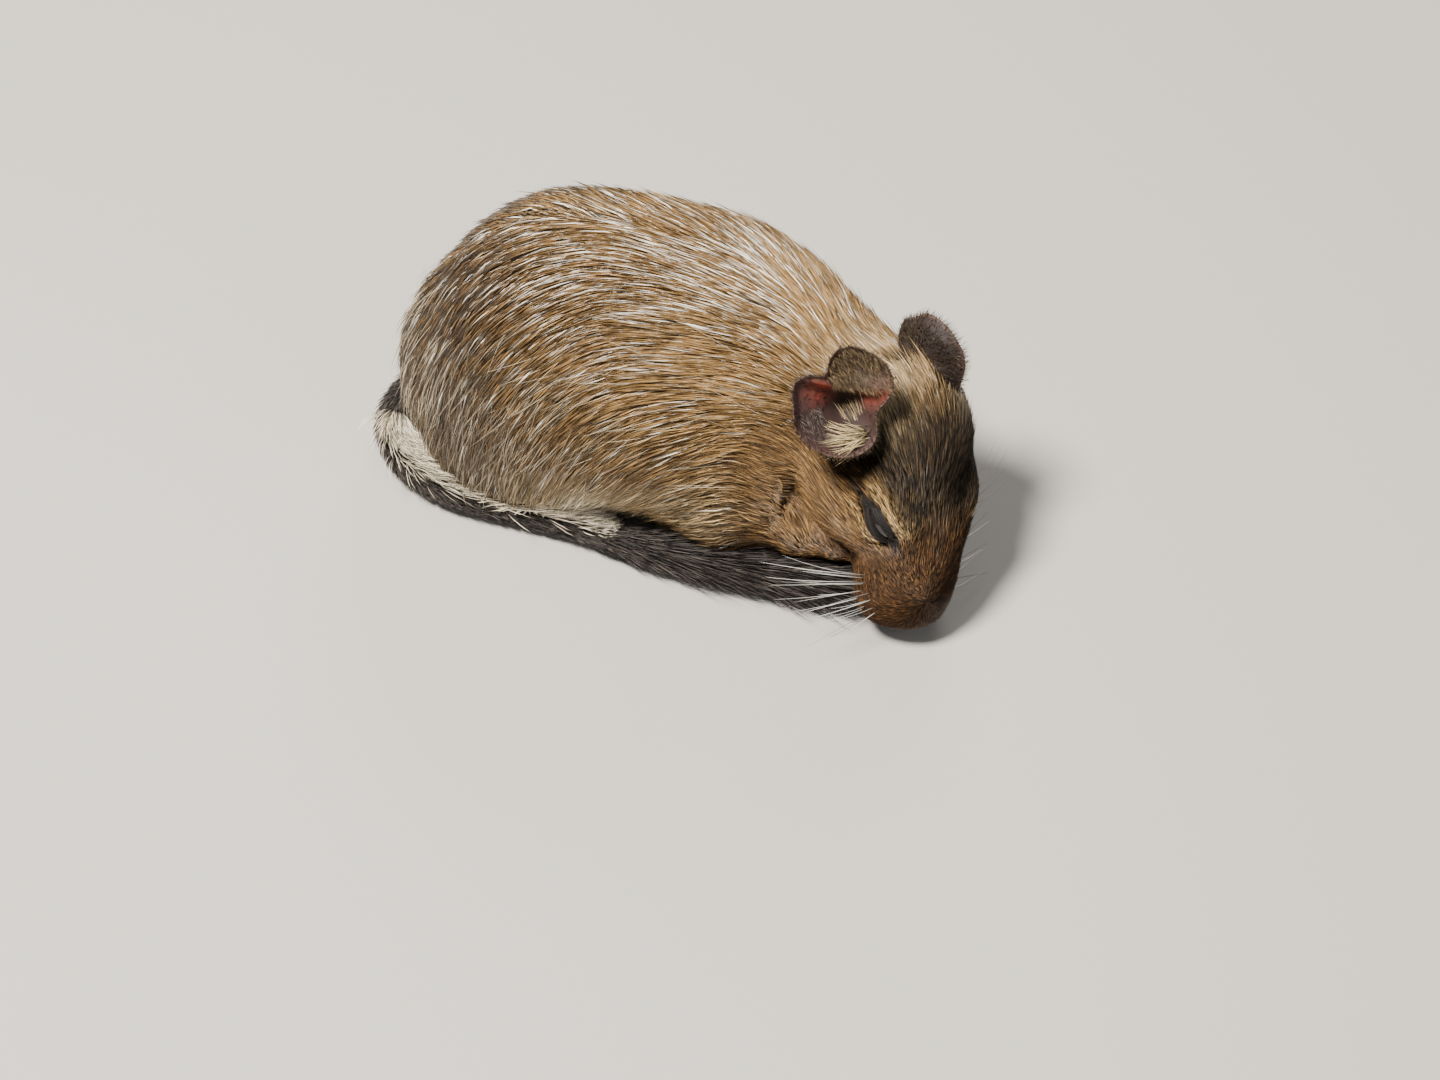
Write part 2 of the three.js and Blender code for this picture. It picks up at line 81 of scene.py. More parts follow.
forward = np.array(
    [
        math.cos(HEAD_PITCH) * math.cos(HEAD_YAW),
        math.cos(HEAD_PITCH) * math.sin(HEAD_YAW),
        -math.sin(HEAD_PITCH),
    ]
)
level = unit(np.array([0, 0, 1]) - forward * forward[2])
up = np.array(Matrix.Rotation(HEAD_ROLL, 3, Vector(forward)) @ Vector(level))
left = np.cross(up, forward)
head_axes = np.array([forward, left, up])
eye_middle = (node_centre("eye_right") + node_centre("eye_left")) / 2
head_origin = eye_middle - forward * EYE_PLACE[0] - up * EYE_PLACE[2]
shift = head_origin - HEAD_PLACE


def in_head(*point):
    return head_origin + np.asarray(point, float) @ head_axes


def to_head(points):
    return (points - head_origin) @ head_axes.T


def placed(*point):
    return np.asarray(point, float) + shift


def in_frame(frame_place, side, point):
    x, y, heading = frame_place
    turn = math.radians(heading)
    px, py, pz = point[0], side * point[1], point[2]
    return placed(
        x + px * math.cos(turn) - py * math.sin(turn), y + px * math.sin(turn) + py * math.cos(turn), pz
    )


def smoothstep(low, high, value):
    t = np.clip((value - low) / (high - low), 0, 1)
    return t * t * (3 - 2 * t)


def hill(value, middle, width):
    """1 at the middle, falling to 0 on both sides."""
    return np.exp(-(((value - middle) / width) ** 2))


def waves(points, size, seed):
    """Smooth noise between about -1 and 1, from a few sine waves."""
    draw = np.random.default_rng(seed)
    total = np.zeros(len(points))
    for _ in range(7):
        direction = unit(draw.normal(size=3)) * (2 * math.pi / (size * draw.uniform(0.6, 1.6)))
        total += np.sin(points @ direction + draw.uniform(0, 6.3))
    return total / 3.2


# Meshes from arrays
def mesh_object(name, points, triangles):
    mesh = bpy.data.meshes.new(name)
    triangles = np.asarray(triangles, np.int32)
    mesh.vertices.add(len(points))
    mesh.vertices.foreach_set("co", (np.asarray(points, np.float32) * MM).ravel())
    mesh.loops.add(triangles.size)
    mesh.loops.foreach_set("vertex_index", triangles.ravel())
    mesh.polygons.add(len(triangles))
    mesh.polygons.foreach_set("loop_start", np.arange(0, triangles.size, 3, dtype=np.int32))
    mesh.polygons.foreach_set("loop_total", np.full(len(triangles), 3, np.int32))
    mesh.update(calc_edges=True)
    mesh.polygons.foreach_set("use_smooth", np.ones(len(triangles), bool))
    piece = bpy.data.objects.new(name, mesh)
    bpy.context.collection.objects.link(piece)
    return piece


def colour_attribute(piece, name, colours):
    layer = piece.data.attributes.new(name, "FLOAT_COLOR", "POINT")
    rgba = np.ones((len(colours), 4), np.float32)
    rgba[:, : colours.shape[1]] = colours
    layer.data.foreach_set("color", rgba.ravel())


def bake_map(piece, corner_uv):
    layer = piece.data.uv_layers.new(name="OFBake")
    layer.data.foreach_set("uv", corner_uv.astype(np.float32).ravel())


def tube_faces(rings, sides):
    """Triangles that join rings of points, one ring to the next."""
    faces = []
    for k in range(rings - 1):
        for j in range(sides):
            a, b = k * sides + j, k * sides + (j + 1) % sides
            faces += [(a, b, b + sides), (a, b + sides, a + sides)]
    return faces


ROOT_PATCH = 0.003


def strands(name, flat, paths, radii, normals, tint, root_uv, dark=None, sides=3):
    """Tapered closed strands. paths is (strands, stops, 3) with the tip last, radii is (strands, stops - 1),
    flat widens a strand along the skin, and dark is how dark each strand is at each stop."""
    count, stops, _ = paths.shape
    rings = stops - 1
    per = rings * sides + 1
    ahead = unit(paths[:, 1:] - paths[:, :-1])
    across = unit(np.cross(ahead, normals[:, None]))
    raised = np.cross(across, ahead)
    angles = (np.arange(sides) * 2 * math.pi / sides + math.pi / 2)[:, None]
    circle = flat * np.cos(angles) * across[:, :, None] + np.sin(angles) * raised[:, :, None]
    ring = paths[:, :-1, None] + radii[:, :, None, None] * circle
    points = np.concatenate([ring.reshape(count, rings * sides, 3), paths[:, -1:]], axis=1)

    faces = tube_faces(rings, sides)
    last = (rings - 1) * sides
    faces += [(last + j, last + (j + 1) % sides, per - 1) for j in range(sides)]
    faces += [(0, j + 1, j) for j in range(1, sides - 1)]
    triangles = (np.array(faces)[None] + np.arange(count)[:, None, None] * per).reshape(-1, 3)
    piece = mesh_object(name, points.reshape(-1, 3), triangles)

    along = np.concatenate([np.repeat(np.linspace(0, 1, stops)[:-1], sides), [1.0]])
    if dark is None:
        dark = np.zeros((count, stops))
    dark = np.concatenate([np.repeat(dark[:, :-1], sides, axis=1), dark[:, -1:]], axis=1)
    strand = np.stack([np.tile(along, count), np.repeat(rng.random(count), per), dark.ravel()], axis=1)
    colour_attribute(piece, "tint", np.repeat(tint, per, axis=0))
    colour_attribute(piece, "strand", strand)
    turn = np.concatenate([np.tile(np.arange(sides) / sides, rings), [0.5]])
    patch = (np.stack([turn, along], axis=1) - 0.5) * ROOT_PATCH
    uv = (root_uv[:, None] + patch[None]).reshape(-1, 2)
    bake_map(piece, np.clip(uv, 0, 1)[triangles.ravel()])
    return piece


# The feet: each pair's frame on the body, heel, ball of the foot, width, and reach of the toes
FOOT_PAIRS = (
    (PELVIS, (-9, 14.5, 3.4), (12, 18, 2.6), 9.4, 9),
    (CHEST, (18, 12.5, 3), (25, 10.5, 2.4), 7.6, 6.2),
)
LONG_TOES = (-1.5, -0.5, 0.5, 1.5)
CLAW_ARCH = ((0, 0), (1.2, 0.45), (2.4, 0.3), (3.5, -0.35), (4.2, -0.9))


def claw_lines():
    """The middle line of each claw, from where it leaves its toe."""
    lines = []
    for frame_place, heel, ball, width, reach in FOOT_PAIRS:
        for side in (RIGHT, LEFT):
            back, front = (in_frame(frame_place, side, place) for place in (heel, ball))
            aim = unit((front - back) * [1, 1, 0])
            across = np.array([-aim[1], aim[0], 0])
            toes = []
            for place in LONG_TOES:
                start = front - 1.2 * aim + across * place * width * 0.24
                length = reach * (1 - 0.1 * abs(place))
                toes.append((start, unit(aim + across * place * 0.11), length, 0.125))
            inner = back + (front - back) * 0.72 - across * side * width * 0.42
            toes.append((inner, unit(aim - across * side * 0.35), reach * 0.42, 0.11))
            for start, direction, length, share in toes:
                end = start + direction * (length - 0.9)
                end[2] = width * share * 0.95
                lines.append([end + direction * run + np.array([0, 0, rise]) for run, rise in CLAW_ARCH])
    return np.array(lines)


# Skin: copies of the solids of flesh, joined, remeshed and smoothed, then drawn in by the coat's depth
FLESH = ["torso", "neck", "head", "hindleg_right", "hindleg_left", "foreleg_right", "foreleg_left"]
FLESH_GROWTH = 0.22
VOXEL = 0.55
BODY_SMOOTHING = 90
SKIN_SMOOTHING = 5
SOCKET_WALL = 0.75
THROAT_FILL = [((18, -29.5, 22), 8.5), ((20, -32, 14), 9.5), ((27, -34, 13), 8)]
EAR_MOUND = [((0.5, -3, -9.2), 4.2), ((1, -6.5, -8), 3.8)]
SLIT_LENGTH = 4.7
SLIT_HEIGHT = 0.62
LID_LENGTH = 6.4
LID_HEIGHT = 4.4
LID_THICKNESS = 0.55


def eye_axes(side):
    outward = unit(np.array([0.34, side * 0.8, 0.46]))
    slope = math.radians(-8)
    along = np.array([math.cos(slope), side * -0.36, -math.sin(slope)])
    along = unit(along - outward * (along @ outward))
    return along @ head_axes, np.cross(outward, along) @ head_axes, outward @ head_axes


def eye_centre(side):
    return in_head(EYE_PLACE[0], side * EYE_PLACE[1], EYE_PLACE[2])


def flesh_mesh():
    """The solids of flesh in one mesh, each with its doubles merged and grown a little."""
    whole = bmesh.new()
    for node in FLESH:
        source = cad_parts[node]
        part = bmesh.new()
        part.from_mesh(source.data)
        part.transform(source.matrix_world)
        bmesh.ops.remove_doubles(part, verts=part.verts, dist=1e-7)
        part.normal_update()
        for vertex in part.verts:
            vertex.co += vertex.normal * FLESH_GROWTH * MM
        scratch = bpy.data.meshes.new("scratch")
        part.to_mesh(scratch)
        part.free()
        whole.from_mesh(scratch)
        bpy.data.meshes.remove(scratch)
    mesh = bpy.data.meshes.new("skin")
    whole.to_mesh(mesh)
    whole.free()
    return mesh


def fill_balls():
    """Balls that fill the eye sockets, the throat and the ground under the ears."""
    fills = []
    for side in (RIGHT, LEFT):
        radius, place = EYE_RADIUS + SOCKET_WALL, Vector(eye_centre(side) * MM)
        bpy.ops.mesh.primitive_uv_sphere_add(segments=32, ring_count=20, radius=radius * MM, location=place)
        fills.append(bpy.context.object)
    mounds = [(placed(*centre), radius) for centre, radius in THROAT_FILL]
    for side in (RIGHT, LEFT):
        centre, axes = ear_shape(side)
        mounds += [(centre + np.array(place) @ axes, radius) for place, radius in EAR_MOUND]
    for centre, radius in mounds:
        place = Vector(centre * MM)
        bpy.ops.mesh.primitive_ico_sphere_add(subdivisions=4, radius=radius * MM, location=place)
        fills.append(bpy.context.object)
    return fills


def smooth_skin(skin):
    """Smooths the joins away, most on the body and least on the face and the feet."""
    points, _ = surface(skin)
    local = to_head(points)
    headness = smoothstep(-9, 2, local[:, 0]) * smoothstep(24, 20, np.linalg.norm(local, axis=1) - 6)
    low = smoothstep(9, 5, points[:, 2])
    weight = np.clip((1 - headness) * (1 - 0.95 * low), 0, 1)
    group = skin.vertex_groups.new(name="loose")
    for tenth in range(1, 11):
        chosen = np.nonzero(np.round(weight * 10) == tenth)[0]
        if len(chosen):
            group.add(chosen.tolist(), tenth / 10, "REPLACE")
    for rounds, group_name in ((BODY_SMOOTHING, "loose"), (SKIN_SMOOTHING, "")):
        smooth = skin.modifiers.new("smooth", "SMOOTH")
        smooth.factor = 0.5
        smooth.iterations = rounds
        smooth.vertex_group = group_name
        bpy.ops.object.modifier_apply(modifier=smooth.name)
    skin.vertex_groups.clear()


def make_skin():
    skin = bpy.data.objects.new("skin", flesh_mesh())
    bpy.context.collection.objects.link(skin)
    fills = fill_balls()
    bpy.ops.object.select_all(action="DESELECT")
    for piece in [*fills, skin]:
        piece.select_set(True)
    bpy.context.view_layer.objects.active = skin
    bpy.ops.object.join()
    remesh = skin.modifiers.new("one_surface", "REMESH")
    remesh.mode = "VOXEL"
    remesh.voxel_size = VOXEL * MM
    remesh.use_smooth_shade = True
    bpy.ops.object.modifier_apply(modifier=remesh.name)
    smooth_skin(skin)
    bpy.ops.object.select_all(action="DESELECT")
    return skin


def surface(piece):
    mesh = piece.data
    points = np.empty(len(mesh.vertices) * 3, np.float32)
    normals = np.empty_like(points)
    mesh.vertices.foreach_get("co", points)
    mesh.vertex_normals.foreach_get("vector", normals)
    return points.reshape(-1, 3).astype(float) / MM, normals.reshape(-1, 3).astype(float)


def write_points(piece, points):
    piece.data.vertices.foreach_set("co", (points * MM).astype(np.float32).ravel())
    piece.data.update()


def regions(points, normals):
    """How much each point is head, muzzle, foot or belly."""
    local = to_head(points)
    head = smoothstep(-16, -6, local[:, 0]) * smoothstep(30, 24, np.linalg.norm(local - [4, 0, 0], axis=1))
    muzzle = head * smoothstep(10, 20, local[:, 0])
    foot = smoothstep(7, 4.5, points[:, 2]) * (1 - head)
    belly = smoothstep(-0.15, -0.75, normals[:, 2]) * (1 - head)
    return head, muzzle, foot, belly


def refine(skin, centre, reach, cuts):
    """Cuts the skin finer within reach of a place."""
    mesh = bmesh.new()
    mesh.from_mesh(skin.data)
    middle = Vector(centre * MM)
    edges = {e for f in mesh.faces if (f.calc_center_median() - middle).length < reach * MM for e in f.edges}
    bmesh.ops.subdivide_edges(mesh, edges=list(edges), cuts=cuts, use_grid_fill=True)
    bmesh.ops.triangulate(mesh, faces=[f for f in mesh.faces if len(f.verts) > 4])
    mesh.to_mesh(skin.data)
    mesh.free()


def slit_field(points, side):
    """Place on the lids: u along the slit, v across it, w outwards, half the slit's height at u, and the
    distance from the eye's centre."""
    along, across, outward = eye_axes(side)
    offset = points - eye_centre(side)
    u, v, w = offset @ along, offset @ across, offset @ outward
    v = v - 0.12 * (1 - (u / SLIT_LENGTH) ** 2)
    opening = SLIT_HEIGHT * np.clip(1 - (u / SLIT_LENGTH) ** 2, 0, 1) ** 0.8
    return u, v, w, opening, np.linalg.norm(offset, axis=1)


def lid_almond(u):
    """Half width of the bare dark lids at a place along the slit."""
    return 0.25 + 1.75 * np.clip(1 - (u / LID_LENGTH) ** 2, 0, 1) ** 0.8


def shape_lids(skin):
    """Lays the lids on the eyeball, with a rim round the slit, folds beside it and creases at its corners."""
    for side in (RIGHT, LEFT):
        centre = eye_centre(side)
        refine(skin, centre, EYE_RADIUS + 3.2, 2)
        points, _ = surface(skin)
        u, v, w, opening, reach = slit_field(points, side)
        wide, high = np.abs(u), np.abs(v)
        near = (w > 0.8) & (reach < EYE_RADIUS + 4) & (high < LID_HEIGHT) & (wide < LID_LENGTH)
        ease = smoothstep(LID_HEIGHT, 2.6, high) * smoothstep(LID_LENGTH, 4.2, wide)
        target = reach + (np.minimum(reach, EYE_RADIUS + LID_THICKNESS) - reach) * ease
        margin = high - opening
        rim = hill(margin, 0.35, 0.3) * (wide < SLIT_LENGTH + 0.6)
        arch = 2.3 * np.sqrt(np.clip(1 - (u / 6) ** 2, 0, 1)) + 0.2
        fold = hill(high, arch, 0.28) * (wide < 5.4)
        target += 0.22 * rim - 0.22 * fold
        target += (EYE_RADIUS - 0.7 - target) * smoothstep(0.12, -0.12, margin) * (wide < SLIT_LENGTH)
        crease = hill(v, 0, 0.26) * smoothstep(SLIT_LENGTH - 0.3, SLIT_LENGTH + 0.1, wide)
        target -= 0.45 * crease * smoothstep(LID_LENGTH, 5.6, wide)
        ray = unit(points - centre)
        write_points(skin, np.where(near[:, None], centre + ray * target[:, None], points))


def nose_fields(points, normals):
    """How much each point is bare nose, nostril, the line of the cleft and mouth, and lip."""
    local = to_head(points)
    x, y, z = local.T
    facing = (normals @ head_axes.T)[:, 2]
    ahead = smoothstep(21, 25, x)
    pad = ahead * np.exp(-((y / 2.7) ** 4) - ((z + 1.3) / 2.1) ** 4)
    nostril = ahead * hill(np.abs(y), 1.65, 0.75) * hill(z + 0.25 * np.abs(y), -1.1, 0.5)
    cleft = ahead * hill(y, 0, 0.3) * smoothstep(-1.6, -2.4, z) * smoothstep(-7, -6.4, z)
    line = np.interp(x, [10, 16, 21.8, 25], [-7.6, -8, -7.8, -6.4])
    across = (z - line) / np.maximum(np.sqrt(np.clip(1 - facing**2, 0, 1)), 0.3)
    jaw = smoothstep(9, 11, x)
    mouth = jaw * hill(across, 0, 0.36)
    lips = jaw * hill(np.abs(across), 0.9, 0.45)
    near = np.linalg.norm(local - [20, 0, -3], axis=1) < 14
    return [field * near for field in (pad, nostril, np.maximum(cleft, mouth), lips)]


def shape_nose(skin):
    refine(skin, in_head(MUZZLE_TIP - 2, 0, -3), 8, 1)
    points, normals = surface(skin)
    pad, nostril, line, lips = nose_fields(points, normals)
    depth = 0.95 * nostril + 0.5 * line - 0.14 * lips - 0.12 * pad
    write_points(skin, points - normals * depth[:, None])


BODY_DEPTH = 2.1
HEAD_DEPTH = 0.8


def draw_in(skin):
    """Draws the skin in by the coat's depth, less at the eyes, the feet and the underside."""
    points, normals = surface(skin)
    head, muzzle, foot, _ = regions(points, normals)
    depth = BODY_DEPTH * (1 - head) * (1 - 0.9 * foot) + head * (HEAD_DEPTH - 0.4 * muzzle)
    depth *= 1 - 0.85 * smoothstep(-0.55, -0.9, normals[:, 2]) * (1 - head)
    for side in (RIGHT, LEFT):
        away = np.linalg.norm(points - eye_centre(side), axis=1)
        depth *= smoothstep(EYE_RADIUS + 1.2, EYE_RADIUS + 4, away)
    points = points - normals * depth[:, None]
    points[:, 2] = np.maximum(points[:, 2], 0.02)
    write_points(skin, points)


# Colour of the coat by place, the same for the skin and the strands on it
GOLD = np.array([0.275, 0.162, 0.062])
BACK = np.array([0.205, 0.12, 0.048])
FLANK = np.array([0.56, 0.41, 0.225])
CREAM = np.array([0.84, 0.73, 0.54])
RUMP = np.array([0.085, 0.047, 0.019])
# The crown, cheek and muzzle are the face's own dark brown, deepened further as painted shade over the bowed
# head
CROWN = np.array([0.018, 0.012, 0.007])
CHEEK = np.array([0.115, 0.064, 0.025])
MUZZLE = np.array([0.062, 0.029, 0.0105])
RING = np.array([0.30, 0.195, 0.08])
LID = np.array([0.014, 0.011, 0.011])
NOSE = np.array([0.075, 0.042, 0.036])
FEET = np.array([0.26, 0.21, 0.17])
# Pale fur of the nape and round the ear roots: the coat's own paler patches, brightened further as painted
# light
NAPE = np.array([0.60, 0.46, 0.28])
SILVER = np.array([0.88, 0.84, 0.76])
# Painted shade: the dark brown of the fur in the shadow under the bowed head
SHADE_UNDER_HEAD = np.array([0.125, 0.069, 0.026])


def blend(base, colour, weight):
    return base + (colour - base) * np.clip(weight, 0, 1)[:, None]


def spot(points, centre, reach):
    return np.exp(-np.sum(((points - centre) / reach) ** 2, axis=1))


def markings(points, normals):
    """Colour at each point: back, flanks and belly, then face, rings round the eyes, and bare skin, with
    painted shade under and over the head and painted light on the pale patches.
    """
    head, _, foot, belly = regions(points, normals)
    ahead, aside, above_nose = to_head(points).T
    along_body = points[:, 0] - shift[0]
    height = points[:, 2] + 2 * waves(points, 18, 3)
    tint = np.tile(GOLD, (len(points), 1))
    tint = blend(tint, BACK, 0.8 * smoothstep(42, 58, height))
    tint = blend(tint, FLANK, 0.8 * smoothstep(32, 18, height))
    tint = blend(tint, RUMP, 0.85 * smoothstep(-18, -40, along_body + 3 * waves(points, 14, 4)))
    edge = 9 + 12 * hill(along_body, -17, 10)
    underside = belly * smoothstep(18, 10, points[:, 2])
    tint = blend(tint, CREAM, smoothstep(edge + 4, edge - 4, height) + underside)
    # Pale patch on the nape, partly its own cream fur and partly painted light
    tint = blend(tint, NAPE, 0.75 * spot(points, in_head(-17, -4, 9), [6, 8, 7]))
    # Painted shade under the head: the throat and chest below the jaw, and the right side behind the cheek
    tint = blend(tint, SHADE_UNDER_HEAD, 1.8 * spot(points, placed(20, -33, 11), [15, 11, 10]))
    tint = blend(tint, SHADE_UNDER_HEAD, 1.4 * spot(points, in_head(-7, -14, -1), [9, 8, 10]))
    # The face: its own dark brown, darkest on the crown, deepened as painted shade over the whole head
    crown = smoothstep(0.5, 6, above_nose - 0.25 * np.abs(aside)) * smoothstep(22, 8, ahead)
    face = blend(np.tile(CHEEK, (len(points), 1)), CROWN, crown)
    face = blend(face, MUZZLE, smoothstep(7, 17, ahead))
    # Painted shade under the jaw
    face = blend(face, SHADE_UNDER_HEAD, 0.6 * smoothstep(-11, -15, above_nose))
    tint = blend(tint, face, head)
    for side in (RIGHT, LEFT):
        # Pale fur round each ear's root, partly its own colour and partly painted light where the ear's shade
        # falls
        tint = blend(tint, NAPE, 0.75 * spot(points, in_head(-12, side * 9.5, 9.5), 4.6))
        u, v, w, _, reach = slit_field(points, side)
        near = (w > 0) * smoothstep(EYE_RADIUS + 6, EYE_RADIUS + 3, reach)
        above = hill(v, 3.1, 1.3) * smoothstep(7.5, 4, np.abs(u + 1))
        below = 0.6 * hill(v, -2.9, 0.9) * smoothstep(7, 3, np.abs(u))
        tint = blend(tint, RING, 0.85 * near * (above + below))
        tint = blend(tint, LID, near * smoothstep(0.3, -0.15, np.abs(v) - lid_almond(u)))
    pad, nostril, line, _ = nose_fields(points, normals)
    tint = blend(tint, NOSE, 0.95 * pad)
    # Painted shade: the nostrils and the cleft and line of the mouth take the near-black lid colour, as their
    # hollows would look
    tint = blend(tint, LID, np.maximum(nostril, 0.8 * line))
    tint = blend(tint, FEET, 0.8 * foot * (1 - belly))
    return tint * (1 + 0.1 * waves(points, 7, 11))[:, None]


# The lie of the coat: from nose to tail and down the sides, with a whorl on top of the muzzle
SPINE = np.array(
    [
        in_head(MUZZLE_TIP, 0, 0),
        in_head(12, 0, 2),
        in_head(0, 0, 2),
        placed(*NECK),
        placed(9, -13.5, 32),
        placed(-14, -8, 31),
        placed(-36, -2, 22),
        placed(-50, 4, 4),
    ]
)
WHORL = in_head(22, -2.5, 5.5)


def coat_flow(points, normals):
    """Direction in which the hair lies at each point."""
    flow = np.zeros_like(points)
    for start, end in zip(SPINE[:-1], SPINE[1:]):
        run = end - start
        share = np.clip(((points - start) @ run) / (run @ run), 0, 1)
        away = np.linalg.norm(points - (start + share[:, None] * run), axis=1)
        flow += unit(run)[None] / (away**5)[:, None]
    flow = unit(flow)
    head, muzzle, _, _ = regions(points, normals)
    side = np.linalg.norm(normals[:, :2], axis=1)
    down = (0.62 * side * smoothstep(54, 22, points[:, 2]) + 0.08) * (1 - head)
    rump = smoothstep(4, -38, points[:, 0] - shift[0])
    flow[:, 2] -= down + rump * (0.6 + 1.0 * smoothstep(54, 28, points[:, 2]))
    sideways = np.sign(points[:, 1] - shift[1] - (-8 - 0.24 * (points[:, 0] - shift[0])))
    flow[:, 1] += (1 - head) * (0.12 + 0.55 * rump) * sideways
    offset = points - WHORL
    away = np.linalg.norm(offset, axis=1)
    ahead = head * smoothstep(9, 3, away) + muzzle * smoothstep(20, 25, to_head(points)[:, 0])
    flow += 1.6 * unit(offset) * np.clip(ahead, 0, 1)[:, None]
    flow = flow + 0.10 * np.stack([waves(points, 9, s) for s in (21, 22, 23)], axis=1)
    flow -= normals * np.sum(flow * normals, axis=1, keepdims=True)
    return unit(flow)


# Roots scattered over the skin
def triangle_table(mesh, what):
    """The three vertices, or the three loops, of each triangle."""
    mesh.calc_loop_triangles()
    table = np.empty(len(mesh.loop_triangles) * 3, np.int32)
    mesh.loop_triangles.foreach_get(what, table)
    return table.reshape(-1, 3)


def unwrapped(mesh):
    """Place on the unwrap of each loop."""
    uv = np.empty(len(mesh.loops) * 2, np.float32)
    mesh.uv_layers["OFBake"].data.foreach_get("uv", uv)
    return uv.reshape(-1, 2)


def scatter(skin, density, amount=1.0):
    """Roots at random over the skin, so many to a square millimetre, with the normal and unwrap at each."""
    corners, loops = (triangle_table(skin.data, what) for what in ("vertices", "loops"))
    points, normals = surface(skin)
    a, b, c = (points[corners[:, i]] for i in range(3))
    area = np.linalg.norm(np.cross(b - a, c - a), axis=1) / 2
    expected = area * (amount * density(points, normals))[corners].mean(axis=1)
    chosen = np.repeat(np.arange(len(corners)), rng.poisson(expected))
    r1, r2 = np.sqrt(rng.random(len(chosen))), rng.random(len(chosen))
    weights = np.stack([1 - r1, r1 * (1 - r2), r1 * r2], axis=1)[:, :, None]
    roots = (points[corners[chosen]] * weights).sum(axis=1)
    lean = unit((normals[corners[chosen]] * weights).sum(axis=1))
    root_uv = (unwrapped(skin.data)[loops[chosen]] * weights).sum(axis=1)
    return roots, lean, root_uv


FLOOR_GAP = 0.12


def in_locks(paths, places, spacing, pull):
    """Draws strands together in locks about a spacing apart, more and more towards their tips."""
    wobble = np.stack([waves(places, 11, seed) for seed in (31, 32, 33)], axis=1)
    keys = np.floor(places / np.reshape(spacing, (-1, 1)) + 0.35 * wobble)
    _, lock = np.unique(keys, axis=0, return_inverse=True)
    lock = lock.ravel()
    tips = paths[:, -1]
    size = np.bincount(lock)
    middle = np.stack([np.bincount(lock, weights=tips[:, i]) / size for i in range(3)], axis=1)
    change = (middle[lock] - tips) * pull[:, None]
    return paths + change[:, None] * np.linspace(0, 1, paths.shape[1])[None, :, None] ** 1.6


def coat_paths(roots, flow, length, lift, curve, stops, spacing, pull):
    """Strands that lie along the skin: each stop is a height above the nearest place on the skin."""
    paths = np.repeat(roots[:, None], stops, axis=1)
    for k in range(1, stops):
        step = k / (stops - 1)
        ahead = roots + flow * (length * step)[:, None]
        rise = length * (lift * step - curve * step**2)
        for i in range(len(roots)):
            place, normal, _, _ = skin_tree.find_nearest(ahead[i])
            paths[i, k] = place + normal * rise[i]
    paths = in_locks(paths, roots, spacing, pull)
    floor_gap = FLOOR_GAP + 0.1 * rng.random(len(roots))
    paths[:, :, 2] = np.maximum(paths[:, :, 2], floor_gap[:, None])
    return paths


def free_paths(roots, flow, normals, length, lift, curve, stops):
    """Strands that run straight along their flow and rise off it as the coat's do, with no skin to follow."""
    steps = np.linspace(0, 1, stops)
    run = length[:, None] * steps
    rise = length[:, None] * (np.reshape(lift, (-1, 1)) * steps - np.reshape(curve, (-1, 1)) * steps**2)
    return roots[:, None] + flow[:, None] * run[:, :, None] + normals[:, None] * rise[:, :, None]


def shades(colour, low, high, count):
    """One colour, made darker or lighter at random for each strand."""
    return np.tile(colour, (count, 1)) * rng.uniform(low, high, (count, 1))


class Flecks:
    """Short dark streaks that lie along the coat, and darken the strands where these cross them."""

    def __init__(self, skin, density, length, width):
        self.centres, normals, _ = scatter(skin, density)
        self.flow = coat_flow(self.centres, normals)
        self.length, self.width = length, width
        self.tree = KDTree(len(self.centres))
        for i, centre in enumerate(self.centres):
            self.tree.insert(centre, i)
        self.tree.balance()

    def at(self, points):
        near = np.array([[hit[1] for hit in self.tree.find_n(point, 5)] for point in points])
        offset = points[:, None] - self.centres[near]
        along = np.sum(offset * self.flow[near], axis=2)
        across = np.sqrt(np.maximum(np.sum(offset**2, axis=2) - along**2, 0))
        return smoothstep(1.25, 0.8, np.hypot(along / self.length, across / self.width)).max(axis=1)


def uv_below(points):
    """Place on the skin's unwrap nearest to each point."""
    nearest = [skin_tree.find_nearest(point)[2] for point in points]
    return unwrapped(skin.data)[triangle_table(skin.data, "loops")[nearest]].mean(axis=1)


def open_skin(points, normals):
    """0 on the lids, the bare nose, the line of the mouth and under the ears; 1 where hair grows."""
    pad, _, line, _ = nose_fields(points, normals)
    free = 1 - smoothstep(0.3, 0.7, np.maximum(pad, line))
    for side in (RIGHT, LEFT):
        u, v, w, _, reach = slit_field(points, side)
        lids = (w > 0) & (reach < EYE_RADIUS + 3)
        lids &= (np.abs(v) < lid_almond(u) + 0.15) & (np.abs(u) < LID_LENGTH)
        centre, axes = ear_shape(side)
        a, b, c = ((points - centre) @ axes.T).T
        under = (np.hypot(a, b + 2) < 0.42 * EAR_RADIUS) & (c < 1) & (c > -8.5)
        free[lids | under] = 0
    return free


def body_density(points, normals):
    head, _, foot, belly = regions(points, normals)
    density = (1 - head) * (1 - 0.55 * belly) * (1 - 0.3 * foot * (1 - belly)) * open_skin(points, normals)
    return density * np.where((normals[:, 2] < -0.85) & (points[:, 2] < 1.2), 0.15, 1)


def head_density(points, normals):
    head, muzzle, _, _ = regions(points, normals)
    chin = smoothstep(0.1, 0.7, normals @ (-up))
    return head * (1 + 0.7 * muzzle) * (1 - 0.35 * chin) * open_skin(points, normals)


# The coat's strands
COAT_LENGTH = 9.8
FACE_LENGTH = 4.8
